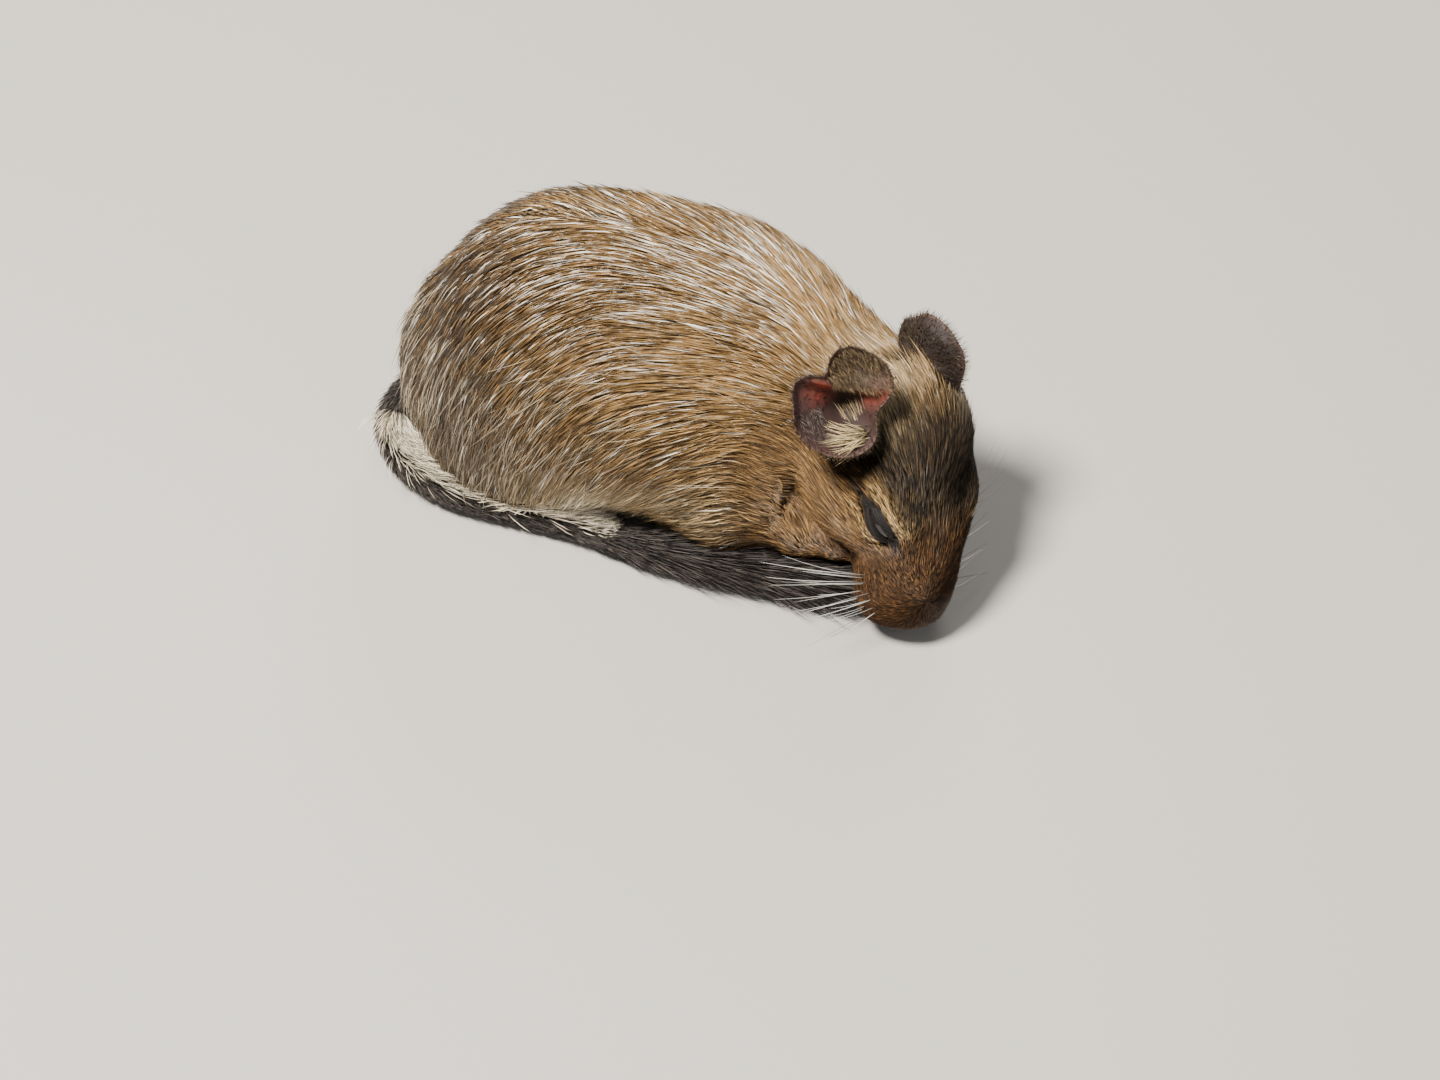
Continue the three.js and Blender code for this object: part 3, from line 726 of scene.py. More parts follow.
# Painted highlight: two spots on the back and flank where the key light's sheen falls, thick with pale
# strands
PAINTED_SHEEN_SPOTS = (((-12, -10, 46), (22, 17, 24)), ((14, -14, 50), (11, 9, 12)))


def near_eyes(points):
    away = [np.linalg.norm(points - eye_centre(side), axis=1) for side in (RIGHT, LEFT)]
    return sum(smoothstep(EYE_RADIUS + 5, EYE_RADIUS + 1.5, distance) for distance in away)


def near_ear_roots(points):
    total = np.zeros(len(points))
    for side in (RIGHT, LEFT):
        centre, axes = ear_shape(side)
        total += spot(points, centre - axes[1] * 7.5 - axes[2] * 4, 5)
    return total


def layer_paths(roots, normals, reach, stops):
    """The strands of a layer: short on the face, round the eyes and on the feet, raised round the ears."""
    head, muzzle, foot, belly = regions(roots, normals)
    count = len(roots)
    ear_root = near_ear_roots(roots)
    brow = smoothstep(-4, 10, to_head(roots)[:, 0])
    length = COAT_LENGTH * (1 - head) + head * (FACE_LENGTH - 2.7 * muzzle - 0.6 * brow + 3.2 * ear_root)
    length *= 1 - 0.45 * near_eyes(roots) * head
    length *= 1 - 0.74 * foot * (1 - 0.5 * belly)
    length *= rng.uniform(0.7, 1.2, count) * reach
    lift = rng.normal(0.29, 0.07, count) + 0.35 * ear_root
    curve = rng.normal(0.12, 0.03, count)
    pull = (0.65 - 0.35 * head - 0.2 * muzzle) * rng.uniform(0.4, 1.2, count)
    flow = coat_flow(roots, normals)
    return coat_paths(roots, flow, length, lift, curve, stops, 1.8 - 0.8 * head, pull)


def layer_darkness(roots, normals, paths, flecks):
    """How dark each strand is at each stop: dark in the flecks, fainter low down, and a few dark tips."""
    head, _, _, belly = regions(roots, normals)
    top = 0.45 + 0.55 * smoothstep(8, 26, roots[:, 2])
    lids = np.where(near_eyes(roots) > 0.7, 0.3, 1)
    strength = np.maximum(top, 0.9 * head) * (1 - 0.85 * belly) * lids
    dark = np.stack([flecks.at(paths[:, k]) * strength for k in range(1, paths.shape[1])], axis=1)
    dark = np.concatenate([0.5 * dark[:, :1], dark], axis=1)
    dark[:, -1] = np.maximum(dark[:, -1], 0.9 * (rng.random(len(roots)) < 0.10))
    return dark


def layer_colours(roots, normals, dark):
    """Colour of each strand: its marking, darker and lighter ticks on the head, and pale hairs, a few
    everywhere and many more as painted highlight in the sheen spots.
    """
    head, muzzle, _, _ = regions(roots, normals)
    count = len(roots)
    ticked = np.where(rng.random(count) < 0.3, rng.uniform(1.3, 2.6, count), rng.uniform(0.5, 1.0, count))
    tint = markings(roots, normals) * (1 + head * (ticked - 1))[:, None]
    tint = tint + GOLD * (0.13 * head * (ticked > 1) * (1 - muzzle))[:, None]
    # Painted highlight: pale silver strands are far more common in the sheen spots than elsewhere
    sheen = sum(spot(roots, placed(*place), reach) for place, reach in PAINTED_SHEEN_SPOTS)
    chance = (0.03 + 0.27 * sheen) * (1 - head) + 0.02 * head * (1 - muzzle)
    pale = ((rng.random(count) < chance) & (dark[:, -1] < 0.5))[:, None]
    silvered = tint * 0.3 + SILVER * (0.7 - 0.6 * head)[:, None]
    return np.where(pale, silvered, tint), np.where(pale, 0.25 * dark, dark)


def coat_layer(name, skin, density, amount, stops, reach, width, most, flecks):
    """One layer of the coat, in pieces of at most `most` strands, from the rump on."""
    roots, normals, root_uv = scatter(skin, density, amount)
    head, muzzle, _, _ = regions(roots, normals)
    paths = layer_paths(roots, normals, reach, stops)
    dark = layer_darkness(roots, normals, paths, flecks)
    tint, dark = layer_colours(roots, normals, dark)
    thick = width * (1 - 0.28 * head - 0.2 * muzzle) * rng.uniform(0.75, 1.25, len(roots))
    radii = thick[:, None] * np.linspace(1, 0.8, stops - 1)
    order = np.argsort(roots[:, 0])
    pieces = []
    for number, start in enumerate(range(0, len(roots), most), 1):
        pick = order[start : start + most]
        chosen = (values[pick] for values in (paths, radii, normals, tint, root_uv, dark))
        pieces.append(strands(f"{name}_{number}", 1.3, *chosen))
    return pieces


def coat(skin):
    """The three layers. Each has an amount to the square millimetre, stops, reach, width and most strands."""

    def body_flecks(points, normals):
        patchy = 0.75 + 0.6 * waves(points, 16, 6) + 0.5 * smoothstep(-20, -42, points[:, 0] - shift[0])
        body = 1 - regions(points, normals)[0]
        return 0.28 * np.clip(patchy, 0.25, 1.7) * body * smoothstep(4, 20, points[:, 2])

    def face_flecks(points, normals):
        return 0.75 * regions(points, normals)[0]

    streaks = Flecks(skin, body_flecks, 2.8, 0.68)
    ticks = Flecks(skin, face_flecks, 0.9, 0.24)
    return [
        *coat_layer("coat", skin, body_density, 4.9, 3, 1.0, 0.135, 18500, streaks),
        *coat_layer("undercoat", skin, body_density, 3.4, 2, 0.55, 0.14, 45000, streaks),
        *coat_layer("face_coat", skin, head_density, 17, 2, 1.0, 0.125, 45000, ticks),
    ]


def long_hairs(skin):
    """Fine pale guard hairs over rump and flanks, standing a little off the coat."""

    def density(points, normals):
        body = 1 - regions(points, normals)[0]
        sides = smoothstep(56, 34, points[:, 2]) * smoothstep(-0.3, 0.2, normals[:, 2])
        return 0.36 * body * sides * (0.25 + smoothstep(10, -25, points[:, 0]))

    roots, normals, root_uv = scatter(skin, density)
    count = len(roots)
    flow = unit(coat_flow(roots, normals) + 0.18 * rng.normal(size=(count, 3)))
    length = rng.uniform(10, 17, count)
    lift = rng.uniform(0.26, 0.42, count)
    curve = rng.uniform(0.1, 0.2, count)
    paths = coat_paths(roots, flow, length, lift, curve, 5, 2.5, rng.uniform(0, 0.25, count))
    radii = rng.uniform(0.032, 0.05, (count, 1)) * np.linspace(1, 0.5, 4)
    pale = shades([0.74, 0.63, 0.46], 0.7, 1.1, count)
    return strands("guard_hairs", 1.0, paths, radii, normals, pale, root_uv)


# Ears: a thin bowl, narrow at its root, with a notched rim, a fold across it and a deep pit by its root
EARS = {
    RIGHT: {
        "centre": (-18.1, -16.9, 9.3),
        "facing": (-0.05, -0.58, 0.81),
        "upright": (-0.8, -0.5, -0.2),
        "size": 1,
        "notch": 0.43,
        "waist": 0.36,
        "folded": 1,
    },
    LEFT: {
        "centre": (-19.6, 6.9, 6.6),
        "facing": (-0.17, 0.97, 0.05),
        "upright": (-0.91, -0.13, -0.39),
        "size": 0.88,
        "notch": 0.14,
        "waist": 0.14,
        "folded": 0.25,
    },
}
EAR_BROWN = np.array([0.042, 0.024, 0.018])
EAR_MAUVE = np.array([0.045, 0.022, 0.02])
# Painted glow: the red of light shining through the thin ear
EAR_GLOW_RED = np.array([0.24, 0.036, 0.015])
# Painted shade: the near black inside the ear's deep pit
EAR_PIT_SHADE = np.array([0.012, 0.007, 0.006])
EAR_RIM = np.array([0.16, 0.105, 0.08])


def ear_shape(side):
    """Centre of the ear, and its axes across, up and out of the bowl."""
    ear = EARS[side]
    outward = unit(ear["facing"])
    rise = unit(np.array(ear["upright"]) - outward * (np.array(ear["upright"]) @ outward))
    across = np.cross(rise, outward) * side
    return in_head(*ear["centre"]), np.array([across, rise, outward]) @ head_axes


def ear_rim(side, angle):
    """Radius of the ear at an angle round it: notched at its top and narrow at its root."""
    ear = EARS[side]
    turn = np.mod(angle, math.tau)
    dips = ear["notch"] * hill(turn, 1.72, 0.36) + ear["waist"] * hill(turn, 4.23, 0.5)
    return ear["size"] * EAR_RADIUS * (1 - dips - 0.1 * hill(turn, 0.7, 0.4))


def fold_line(a, b):
    """Signed distance from the fold: negative on the upper lobe, positive towards the pit and lower lobe."""
    along = -0.53 * a - 0.85 * b
    return 0.85 * a - 0.53 * b + 2.1 + 0.03 * np.maximum(along, 0) ** 2


def ear_depth(side, a, b, share):
    """How deep the bowl lies behind its rim."""
    folded = EARS[side]["folded"]
    bowl = 3 * (1 - share**2)
    pit = 3.4 * (0.4 + 0.6 * folded) * np.exp(-((a - 0.5) ** 2 + (b + 2) ** 2) / 13)
    across = fold_line(a, b)
    fold = 2.3 * folded * hill(across, 0, np.where(across > 0, 0.75, 2.8)) * (1 - share**4)
    curl = 0.8 * smoothstep(0.84, 1.0, share)
    return bowl + pit - fold - curl


def ear_thickness(share):
    return 0.75 - 0.5 * share


def ear_points(side, share, angle, offset):
    centre, axes = ear_shape(side)
    rim = ear_rim(side, angle)
    a, b = share * rim * np.cos(angle), share * rim * np.sin(angle)
    c = offset - ear_depth(side, a, b, share)
    return centre + np.stack([a, b, c], axis=-1) @ axes, a, b


def ear_uv(share, angle, on_back):
    """Place on the unwrapped ear: its bowl is one disc, its back another."""
    disc = 0.23 * share[:, None] * np.stack([np.cos(angle), np.sin(angle)], axis=1)
    return disc + np.stack([np.where(on_back, 0.75, 0.25), np.full(len(share), 0.5)], axis=1)


def make_ear(side):
    rings, spokes = 34, 120
    share = np.concatenate([[0.0], np.repeat(np.arange(1, rings + 1) / rings, spokes)])
    angle = np.concatenate([[0.0], np.tile(np.arange(spokes) * 2 * math.pi / spokes, rings)])
    inner, a, b = ear_points(side, share, angle, 0)
    outer, _, _ = ear_points(side, share, angle, -ear_thickness(share))
    count = len(inner)
    faces = []
    for i in range(rings):
        for j in range(spokes):
            k = (j + 1) % spokes
            p, q = 1 + (i - 1) * spokes, 1 + i * spokes
            patch = [(p + j, q + j, q + k), (p + j, q + k, p + k)] if i else [(0, 1 + j, 1 + k)]
            for t in patch:
                faces += [t, (count + t[0], count + t[2], count + t[1])]
    rim = 1 + (rings - 1) * spokes
    for j in range(spokes):
        k = (j + 1) % spokes
        faces.append((rim + j, count + rim + j, rim + k))
        faces.append((rim + k, count + rim + j, count + rim + k))
    faces = np.array(faces)
    if side == RIGHT:
        faces = faces[:, ::-1]
    piece = mesh_object(f"ear_skin_{SIDE_NAMES[side]}", np.concatenate([inner, outer]), faces)
    on_back = np.repeat((faces.min(axis=1) >= count)[:, None], 3, axis=1).ravel()
    corner = faces.ravel() % count
    bake_map(piece, ear_uv(share[corner], angle[corner], on_back))

    upper = smoothstep(0.4, -0.8, fold_line(a, b))
    tint = blend(np.tile(EAR_MAUVE, (count, 1)), EAR_BROWN, upper)
    # Painted glow: red where light would shine through the thin ear, by the notch and low on the bowl
    glow = np.exp(-((a - 1.2) ** 2 + (b - 4.0) ** 2) / 7) + np.exp(-((a + 5.6) ** 2 / 9 + (b + 3.2) ** 2 / 4))
    tint = blend(tint, EAR_GLOW_RED, 0.9 * glow * (1 - 0.75 * upper))
    # Painted shade: near black over the deep pit by the ear's root
    tint = blend(tint, EAR_PIT_SHADE, 0.95 * np.exp(-((a - 1.0) ** 2 / 9 + (b + 2.6) ** 2 / 12)))
    tint = blend(tint, EAR_RIM, 0.7 * smoothstep(0.93, 1.0, share))
    back = blend(np.tile(EAR_BROWN * 0.3, (count, 1)), EAR_RIM, 0.4 * smoothstep(0.94, 1.0, share))
    colour_attribute(piece, "tint", np.concatenate([tint, back]))
    return piece


def ear_hairs(side):
    """Short hairs on both faces and the rim, paler and longer on the upper lobe and low on the other one."""
    count = 6400
    kind = rng.choice(5, count, p=[0.10, 0.56, 0.20, 0.04, 0.10])
    share = np.sqrt(rng.uniform(0.05, 0.98, count))
    angle = rng.uniform(0, 2 * math.pi, count)
    rim, back, lobe, low, front = (kind == k for k in range(5))
    share = np.where(rim, rng.uniform(0.93, 1.0, count), share)
    lobe_angle, low_angle = rng.uniform(1.75, 3.9, count), rng.uniform(-0.5, 0.5, count)
    angle = np.where(lobe, lobe_angle, np.where(low, low_angle, angle))
    share = np.where(low, rng.uniform(0.45, 0.9, count), share)
    offset = np.where(back, -ear_thickness(share), 0.0)
    roots, a, b = ear_points(side, share, angle, offset)
    ahead, _, _ = ear_points(side, np.minimum(share + 0.02, 1.02), angle, offset)
    keep = ~(lobe & (fold_line(a, b) > -0.2)) & ~(front & (np.hypot(a - 0.5, b + 2) < 3.4))
    _, axes = ear_shape(side)
    normals = np.where(back[:, None], -axes[2], axes[2])
    downward = np.array([0.15, -0.95, 0.1]) @ axes
    flow = np.where((lobe | low)[:, None], downward, unit(ahead - roots + 1e-6))
    flow = unit(flow + 0.3 * rng.normal(size=(count, 3)))
    length = rng.uniform(0.7, 1.5, count) * np.where(lobe | low, 1.5, 1)
    paths = free_paths(roots, flow, normals, length, np.where(back, 0.3, 0.4), 0, 3)
    radii = np.tile([0.036, 0.027], (count, 1))
    tint = shades([0.045, 0.031, 0.02], 0.4, 1.9, count)
    tint = np.where(lobe[:, None], shades([0.30, 0.21, 0.115], 0.25, 1.3, count), tint)
    tint = np.where(low[:, None], shades([0.2, 0.16, 0.14], 0.4, 1.2, count), tint)
    return [values[keep] for values in (paths, radii, normals, tint, ear_uv(share, angle, back))]


def ear_tuft(side):
    """The pale tuft that fans from the ear's root over its pit."""
    centre, axes = ear_shape(side)
    count = 150
    a = rng.normal(1.6, 0.8, count)
    b = rng.normal(-7.8, 0.9, count)
    share = np.clip(np.hypot(a, b) / EAR_RADIUS, 0, 1)
    root_uv = ear_uv(share, np.arctan2(b, a), np.zeros(count, bool))
    roots = centre + np.stack([a, b, rng.uniform(-2.6, -0.6, count)], axis=1) @ axes
    turn = np.radians(rng.uniform(4, 72, count))
    flow = unit(np.stack([np.cos(turn), np.sin(turn), rng.uniform(0.2, 0.55, count)], axis=1)) @ axes
    normals = np.tile(axes[2], (count, 1))
    length = rng.uniform(4.0, 9.0, count)
    paths = free_paths(roots, flow, normals, length, 0, 0.16, 5)
    places = roots * 0.4 + paths[:, -1] * 0.6
    paths = in_locks(paths, places, 1.1, rng.uniform(0.3, 0.8, count))
    radii = np.tile([0.07, 0.063, 0.0525, 0.035], (count, 1))
    return paths, radii, normals, shades([0.78, 0.61, 0.34], 0.5, 1.15, count), root_uv


# Tail: a tapered core along the floor, with short dark hair, a pale fringe within and a dark brush at its end
TAIL_ROUTE = [
    (-42, 6, 12), (-52, 4, 6.5), (-56, -3.5, 4.6), (-53, -12.5, 4.1), (-45, -19.4, 3.9), (-34.2, -23.6, 3.8),
    (-23.4, -27.2, 3.8), (-9, -33, 3.8), (9, -38, 3.8), (20, -41, 3.6), (29, -42.5, 3.4),
]
TAIL_BLACK = (0.03, 0.024, 0.021)


def tail_line(count):
    """Evenly spaced points and directions along a smooth line through the tail's route."""
    knots = np.array([placed(*p) for p in TAIL_ROUTE])
    knots = np.vstack([2 * knots[0] - knots[1], knots, 2 * knots[-1] - knots[-2]])
    fine = []
    for i in range(1, len(knots) - 2):
        p0, p1, p2, p3 = knots[i - 1 : i + 3]
        slope, bend, swing = p2 - p0, 2 * p0 - 5 * p1 + 4 * p2 - p3, 3 * p1 - p0 - 3 * p2 + p3
        for t in np.linspace(0, 1, 40, endpoint=False):
            fine.append(0.5 * (2 * p1 + slope * t + bend * t**2 + swing * t**3))
    fine = np.array([*fine, knots[-2]])
    run = np.concatenate([[0], np.cumsum(np.linalg.norm(np.diff(fine, axis=0), axis=1))])
    at = np.linspace(0, run[-1], count)
    points = np.stack([np.interp(at, run, fine[:, i]) for i in range(3)], axis=1)
    return points, unit(np.gradient(points, axis=0))


def tail_core(share):
    return 2.9 - 1.6 * share


def tail_uv(share, turn):
    """Place on the unwrapped tail: along it, and round it in turns."""
    return np.stack([0.02 + 0.96 * share, 0.02 + 0.96 * turn], axis=1)


def make_tail_skin():
    rings, sides = 160, 24
    line, ahead = tail_line(rings)
    across = unit(np.cross([0, 0, 1], ahead))
    raised = np.cross(ahead, across)
    share = np.linspace(0, 1, rings)
    rounded_end = np.clip(1 - ((share - 0.97) / 0.03).clip(0, 1) ** 2, 0.05, 1) ** 0.5
    radius = tail_core(share) * rounded_end
    angles = (np.arange(sides) * 2 * math.pi / sides)[:, None]
    circle = np.cos(angles) * across[:, None] + np.sin(angles) * raised[:, None]
    ring = line[:, None] + radius[:, None, None] * circle
    points = np.vstack([ring.reshape(-1, 3), line[:1], line[-1:]])
    faces = tube_faces(rings, sides)
    first, last = len(points) - 2, len(points) - 1
    for j in range(sides):
        k = (j + 1) % sides
        faces.append((first, k, j))
        faces.append((last, (rings - 1) * sides + j, (rings - 1) * sides + k))
    piece = mesh_object("tail_skin", points, faces)
    corner = np.array(faces)
    turn = (corner % sides) / sides
    turn = turn + ((turn.max(axis=1) - turn.min(axis=1))[:, None] > 0.5) * (turn < 0.5)
    turn = np.where(corner >= rings * sides, 0.5, turn)
    along = np.where(corner == first, 0, np.where(corner == last, 1, (corner // sides) / (rings - 1)))
    bake_map(piece, tail_uv(along.ravel(), turn.ravel()))
    colour_attribute(piece, "tint", np.tile(TAIL_BLACK, (len(points), 1)))
    return piece


def over_tail(below):
    """Angles round the tail from a little below one side, over the top, to a little below the other."""
    return lambda count: rng.uniform(-below, math.pi + below, count)


# Each kind of hair on the tail: its number, the stretch of the tail it grows on, its angles round the tail,
# its length there, how far it stands off, its colour, how much that varies, and its width
TAIL_HAIRS = {
    "tail_hair": (
        9000,
        (0.02, 1.0),
        over_tail(0.7),
        lambda share: rng.uniform(2.2, 3.6, len(share)) + 1.5 * smoothstep(0.5, 0.75, share),
        (0.3, 0.5),
        (0.045, 0.037, 0.033),
        (0.6, 1.8),
        0.085,
    ),
    "tail_fringe": (
        5200,
        (0.16, 0.62),
        lambda count: rng.normal(1.15, 0.42, count),
        lambda share: rng.uniform(4.0, 7.0, len(share)) * smoothstep(0.66, 0.5, share) + 1,
        (0.75, 1.3),
        (0.80, 0.71, 0.56),
        (0.75, 1.15),
        0.08,
    ),
    "tail_brush_hair": (
        5200,
        (0.58, 1.0),
        over_tail(0.5),
        lambda share: rng.uniform(7, 12, len(share)) * smoothstep(0.52, 0.75, share) + 2,
        (0.22, 0.5),
        (0.035, 0.028, 0.025),
        (0.5, 2.0),
        0.11,
    ),
}


def tail_coat():
    stations = 400
    line, ahead = tail_line(stations)
    across = unit(np.cross([0, 0, 1], ahead))
    raised = np.cross(ahead, across)

    def root_at(share, angle):
        index = np.clip(share * (stations - 1), 0, stations - 2)
        low = index.astype(int)
        mix = (index - low)[:, None]
        centre = line[low] * (1 - mix) + line[low + 1] * mix
        normal = unit(across[low] * np.cos(angle)[:, None] + raised[low] * np.sin(angle)[:, None])
        return centre + normal * tail_core(share)[:, None] * 0.92, normal, ahead[low]

    grown = []
    for name, (count, stretch, angles, long, stand, colour, vary, width) in TAIL_HAIRS.items():
        share = rng.uniform(*stretch, count)
        angle = angles(count)
        length = long(share)
        lift = rng.uniform(*stand, count)
        tint = shades(colour, *vary, count)
        root_uv = tail_uv(share, np.mod(angle / math.tau, 1))
        grown.append((name, width, length, lift, tint, root_uv, *root_at(share, angle)))
    pieces = []
    for name, width, length, lift, tint, root_uv, roots, normals, flow in grown:
        count = len(roots)
        stray = unit(flow + 0.12 * rng.normal(size=(count, 3)))
        paths = free_paths(roots, stray, normals, length, lift, 0.35 * lift, 4)
        paths = in_locks(paths, roots, 1.6, rng.uniform(0.1, 0.5, count))
        paths[:, :, 2] = np.maximum(paths[:, :, 2], FLOOR_GAP)
        radii = np.array([1, 0.85, 0.6]) * width * rng.uniform(0.7, 1.3, (count, 1))
        pieces.append(strands(name, 1.2, paths, radii, normals, tint, root_uv))
    return pieces


# Whiskers, brow hairs and lashes, with how far the whiskers may reach in x and y
WHISKER_LIMITS = 59.2, -40.9
WHISKERS_A_SIDE = 22
WHISKERS_A_ROW = 6
BROW_HAIRS = 5
LASHES = 30
WHISKER_STOPS = 10
WHISKER_PALE = [0.8, 0.78, 0.74]
WHISKER_DARK = [0.05, 0.04, 0.035]


def whiskers():
    paths, radii, normals, colours = [], [], [], []
    steps = np.linspace(0, 1, WHISKER_STOPS)

    def add(line, width, normal, colour):
        paths.append(line)
        radii.append(width * np.linspace(1, 0.35, WHISKER_STOPS - 1))
        normals.append(normal)
        colours.append(colour)

    for side in (RIGHT, LEFT):
        for number in range(WHISKERS_A_SIDE):
            row, place = divmod(number, WHISKERS_A_ROW)
            ahead = 17.5 + 1.26 * place + rng.normal(0, 0.3)
            root = in_head(ahead, side * (8.2 - 0.25 * place), -1.5 - 1.1 * row + rng.normal(0, 0.25))
            length = rng.uniform(11, 22) * (1 - 0.06 * place)
            droop = -0.025 - 0.15 * row + rng.normal(0, 0.12)
            aim = unit([-0.35 + 0.13 * place, side, droop]) @ head_axes
            sag = np.array([0, 0, -0.12]) * length - forward * length * rng.uniform(0.05, 0.25)
            line = root + np.outer(steps * length, aim) + np.outer(steps**2, sag)
            line[:, 2] = np.maximum(line[:, 2], 0.15)
            room_x = (WHISKER_LIMITS[0] - root[0]) / max(line[:, 0].max() - root[0], 0.1)
            room_y = (root[1] - WHISKER_LIMITS[1]) / max(root[1] - line[:, 1].min(), 0.1)
            line = root + (line - root) * min(1, room_x, room_y)
            width = rng.uniform(0.05, 0.075)
            add(line, width, up, WHISKER_PALE if rng.random() < 0.75 else WHISKER_DARK)
        for number in range(BROW_HAIRS):
            root = in_head(8.5 - number * 0.8, side * (8.0 + 0.2 * number), 8.3)
            aim = unit([-0.3 - 0.15 * number, side * 0.5, 0.9]) @ head_axes
            length = rng.uniform(8, 15)
            line = root + np.outer(steps * length, aim) + np.outer(steps**2, -forward * length * 0.3)
            add(line, 0.06, forward, [0.09, 0.07, 0.06])
        along, across, outward = eye_axes(side)
        for u in np.linspace(-4.4, 4.4, LASHES):
            opening = SLIT_HEIGHT * (1 - (u / SLIT_LENGTH) ** 2) ** 0.8
            ray = unit(outward * math.sqrt(max(0.4, 22 - u * u)) + along * u + across * (opening + 0.3))
            root = eye_centre(side) + ray * (EYE_RADIUS + 0.5)
            aim = unit(ray + 0.9 * across - 0.4 * forward + 0.2 * rng.normal(size=3))
            line = root + np.outer(steps * rng.uniform(0.9, 1.6), aim)
            add(line, 0.035, outward, [0.03, 0.025, 0.022])
    paths, radii, normals, colours = (np.array(values) for values in (paths, radii, normals, colours))
    return strands("whiskers", 1.0, paths, radii, normals, colours, uv_below(paths[:, 0]), sides=5)


def make_claws():
    """The claws, each moved back along its toe until its root is on the skin."""
    lines = claw_lines()
    for line in lines:
        back = unit(line[0] - line[1]) * [1, 1, 0]
        for _ in range(30):
            if skin_tree.find_nearest(line[0])[3] > 0.3:
                line += back * 0.3
    rows = ([0.72, 0.66, 0.5, 0.3], [0.0, 0.0, 1.0], [0.10, 0.075, 0.06])
    radii, normals, tint = (np.tile(row, (len(lines), 1)) for row in rows)
    return strands("claws", 0.8, lines, radii, normals, tint, uv_below(lines[:, 0]), sides=8)


def make_eye(side):
    bpy.ops.mesh.primitive_uv_sphere_add(segments=64, ring_count=40, radius=EYE_RADIUS * MM)
    eye = bpy.context.object
    eye.name = f"eyeball_{SIDE_NAMES[side]}"
    turn = Matrix(np.array(eye_axes(side)).T.tolist()).to_4x4()
    eye.data.transform(Matrix.Translation(Vector(eye_centre(side) * MM)) @ turn)
    eye.matrix_world = Matrix.Identity(4)
    eye.data.polygons.foreach_set("use_smooth", np.ones(len(eye.data.polygons), bool))
    eye.select_set(False)
    return eye


# Materials
def feed(tree, socket, value):
    """Gives a socket a plain value, or links it to another node's output."""
    if isinstance(value, bpy.types.NodeSocket):
        tree.links.new(value, socket)
    else:
        socket.default_value = value


def remap(tree, source, low, high, to_low, to_high):
    node = tree.nodes.new("ShaderNodeMapRange")
    node.interpolation_type = "SMOOTHSTEP"
    for socket, value in zip(("From Min", "From Max", "To Min", "To Max"), (low, high, to_low, to_high)):
        node.inputs[socket].default_value = value
    tree.links.new(source, node.inputs["Value"])
    return node.outputs["Result"]


def product(tree, first, second):
    node = tree.nodes.new("ShaderNodeMath")
    node.operation = "MULTIPLY"
    feed(tree, node.inputs[0], first)
    feed(tree, node.inputs[1], second)
    return node.outputs[0]


def mixed(tree, factor, first, second, mode="MIX"):
    """Two colours mixed. A mix node's colours are its sockets 6 and 7, and its colour result is output 2."""
    node = tree.nodes.new("ShaderNodeMix")
    node.data_type = "RGBA"
    node.blend_type = mode
    for number, value in ((0, factor), (6, first), (7, second)):
        feed(tree, node.inputs[number], value)
    return node.outputs[2]


def agouti_group():
    """A strand's colour: its tint, darker towards the root and by its own shade, near black where dark."""
    group = bpy.data.node_groups.new("agouti_banding", "ShaderNodeTree")
    tint = group.interface.new_socket("Tint", in_out="INPUT", socket_type="NodeSocketColor")
    tint.default_value = (0.4, 0.25, 0.1, 1)
    for label, value in (("Along", 0.5), ("Shade", 0.5), ("Dark", 0.3)):
        socket = group.interface.new_socket(label, in_out="INPUT", socket_type="NodeSocketFloat")
        socket.default_value = value
    group.interface.new_socket("Color", in_out="OUTPUT", socket_type="NodeSocketColor")
    given = group.nodes.new("NodeGroupInput").outputs
    root = remap(group, given["Along"], 0.0, 0.55, 0.2, 1.0)
    shade = remap(group, given["Shade"], 0.0, 1.0, 0.5, 1.5)
    strength = product(group, root, shade)
    grey = group.nodes.new("ShaderNodeCombineColor")
    for socket in grey.inputs:
        group.links.new(strength, socket)
    band = mixed(group, 1.0, given["Tint"], grey.outputs[0], "MULTIPLY")
    dark = remap(group, given["Dark"], 0.1, 0.65, 0.0, 0.95)
    colour = mixed(group, dark, band, (0.024, 0.015, 0.010, 1))
    group.links.new(colour, group.nodes.new("NodeGroupOutput").inputs["Color"])
    return group


def material(name, roughness, specular, colour=None):
    made = bpy.data.materials.new(name)
    made.use_nodes = True
    shader = made.node_tree.nodes["Principled BSDF"]
    shader.inputs["Roughness"].default_value = roughness
    shader.inputs["Specular IOR Level"].default_value = specular
    if colour:
        shader.inputs["Base Color"].default_value = colour
    return made, made.node_tree, shader


def attribute(tree, name):
    node = tree.nodes.new("ShaderNodeAttribute")
    node.attribute_name = name
    return node.outputs["Color"]


def banded_colour(tree, shader, along, shade, dark):
    """The coat's banding, on the piece's own tint, as the colour of a material."""
    node = tree.nodes.new("ShaderNodeGroup")
    node.node_tree = agouti
    values = {"Tint": attribute(tree, "tint"), "Along": along, "Shade": shade, "Dark": dark}
    for label, value in values.items():
        feed(tree, node.inputs[label], value)
    tree.links.new(node.outputs["Color"], shader.inputs["Base Color"])


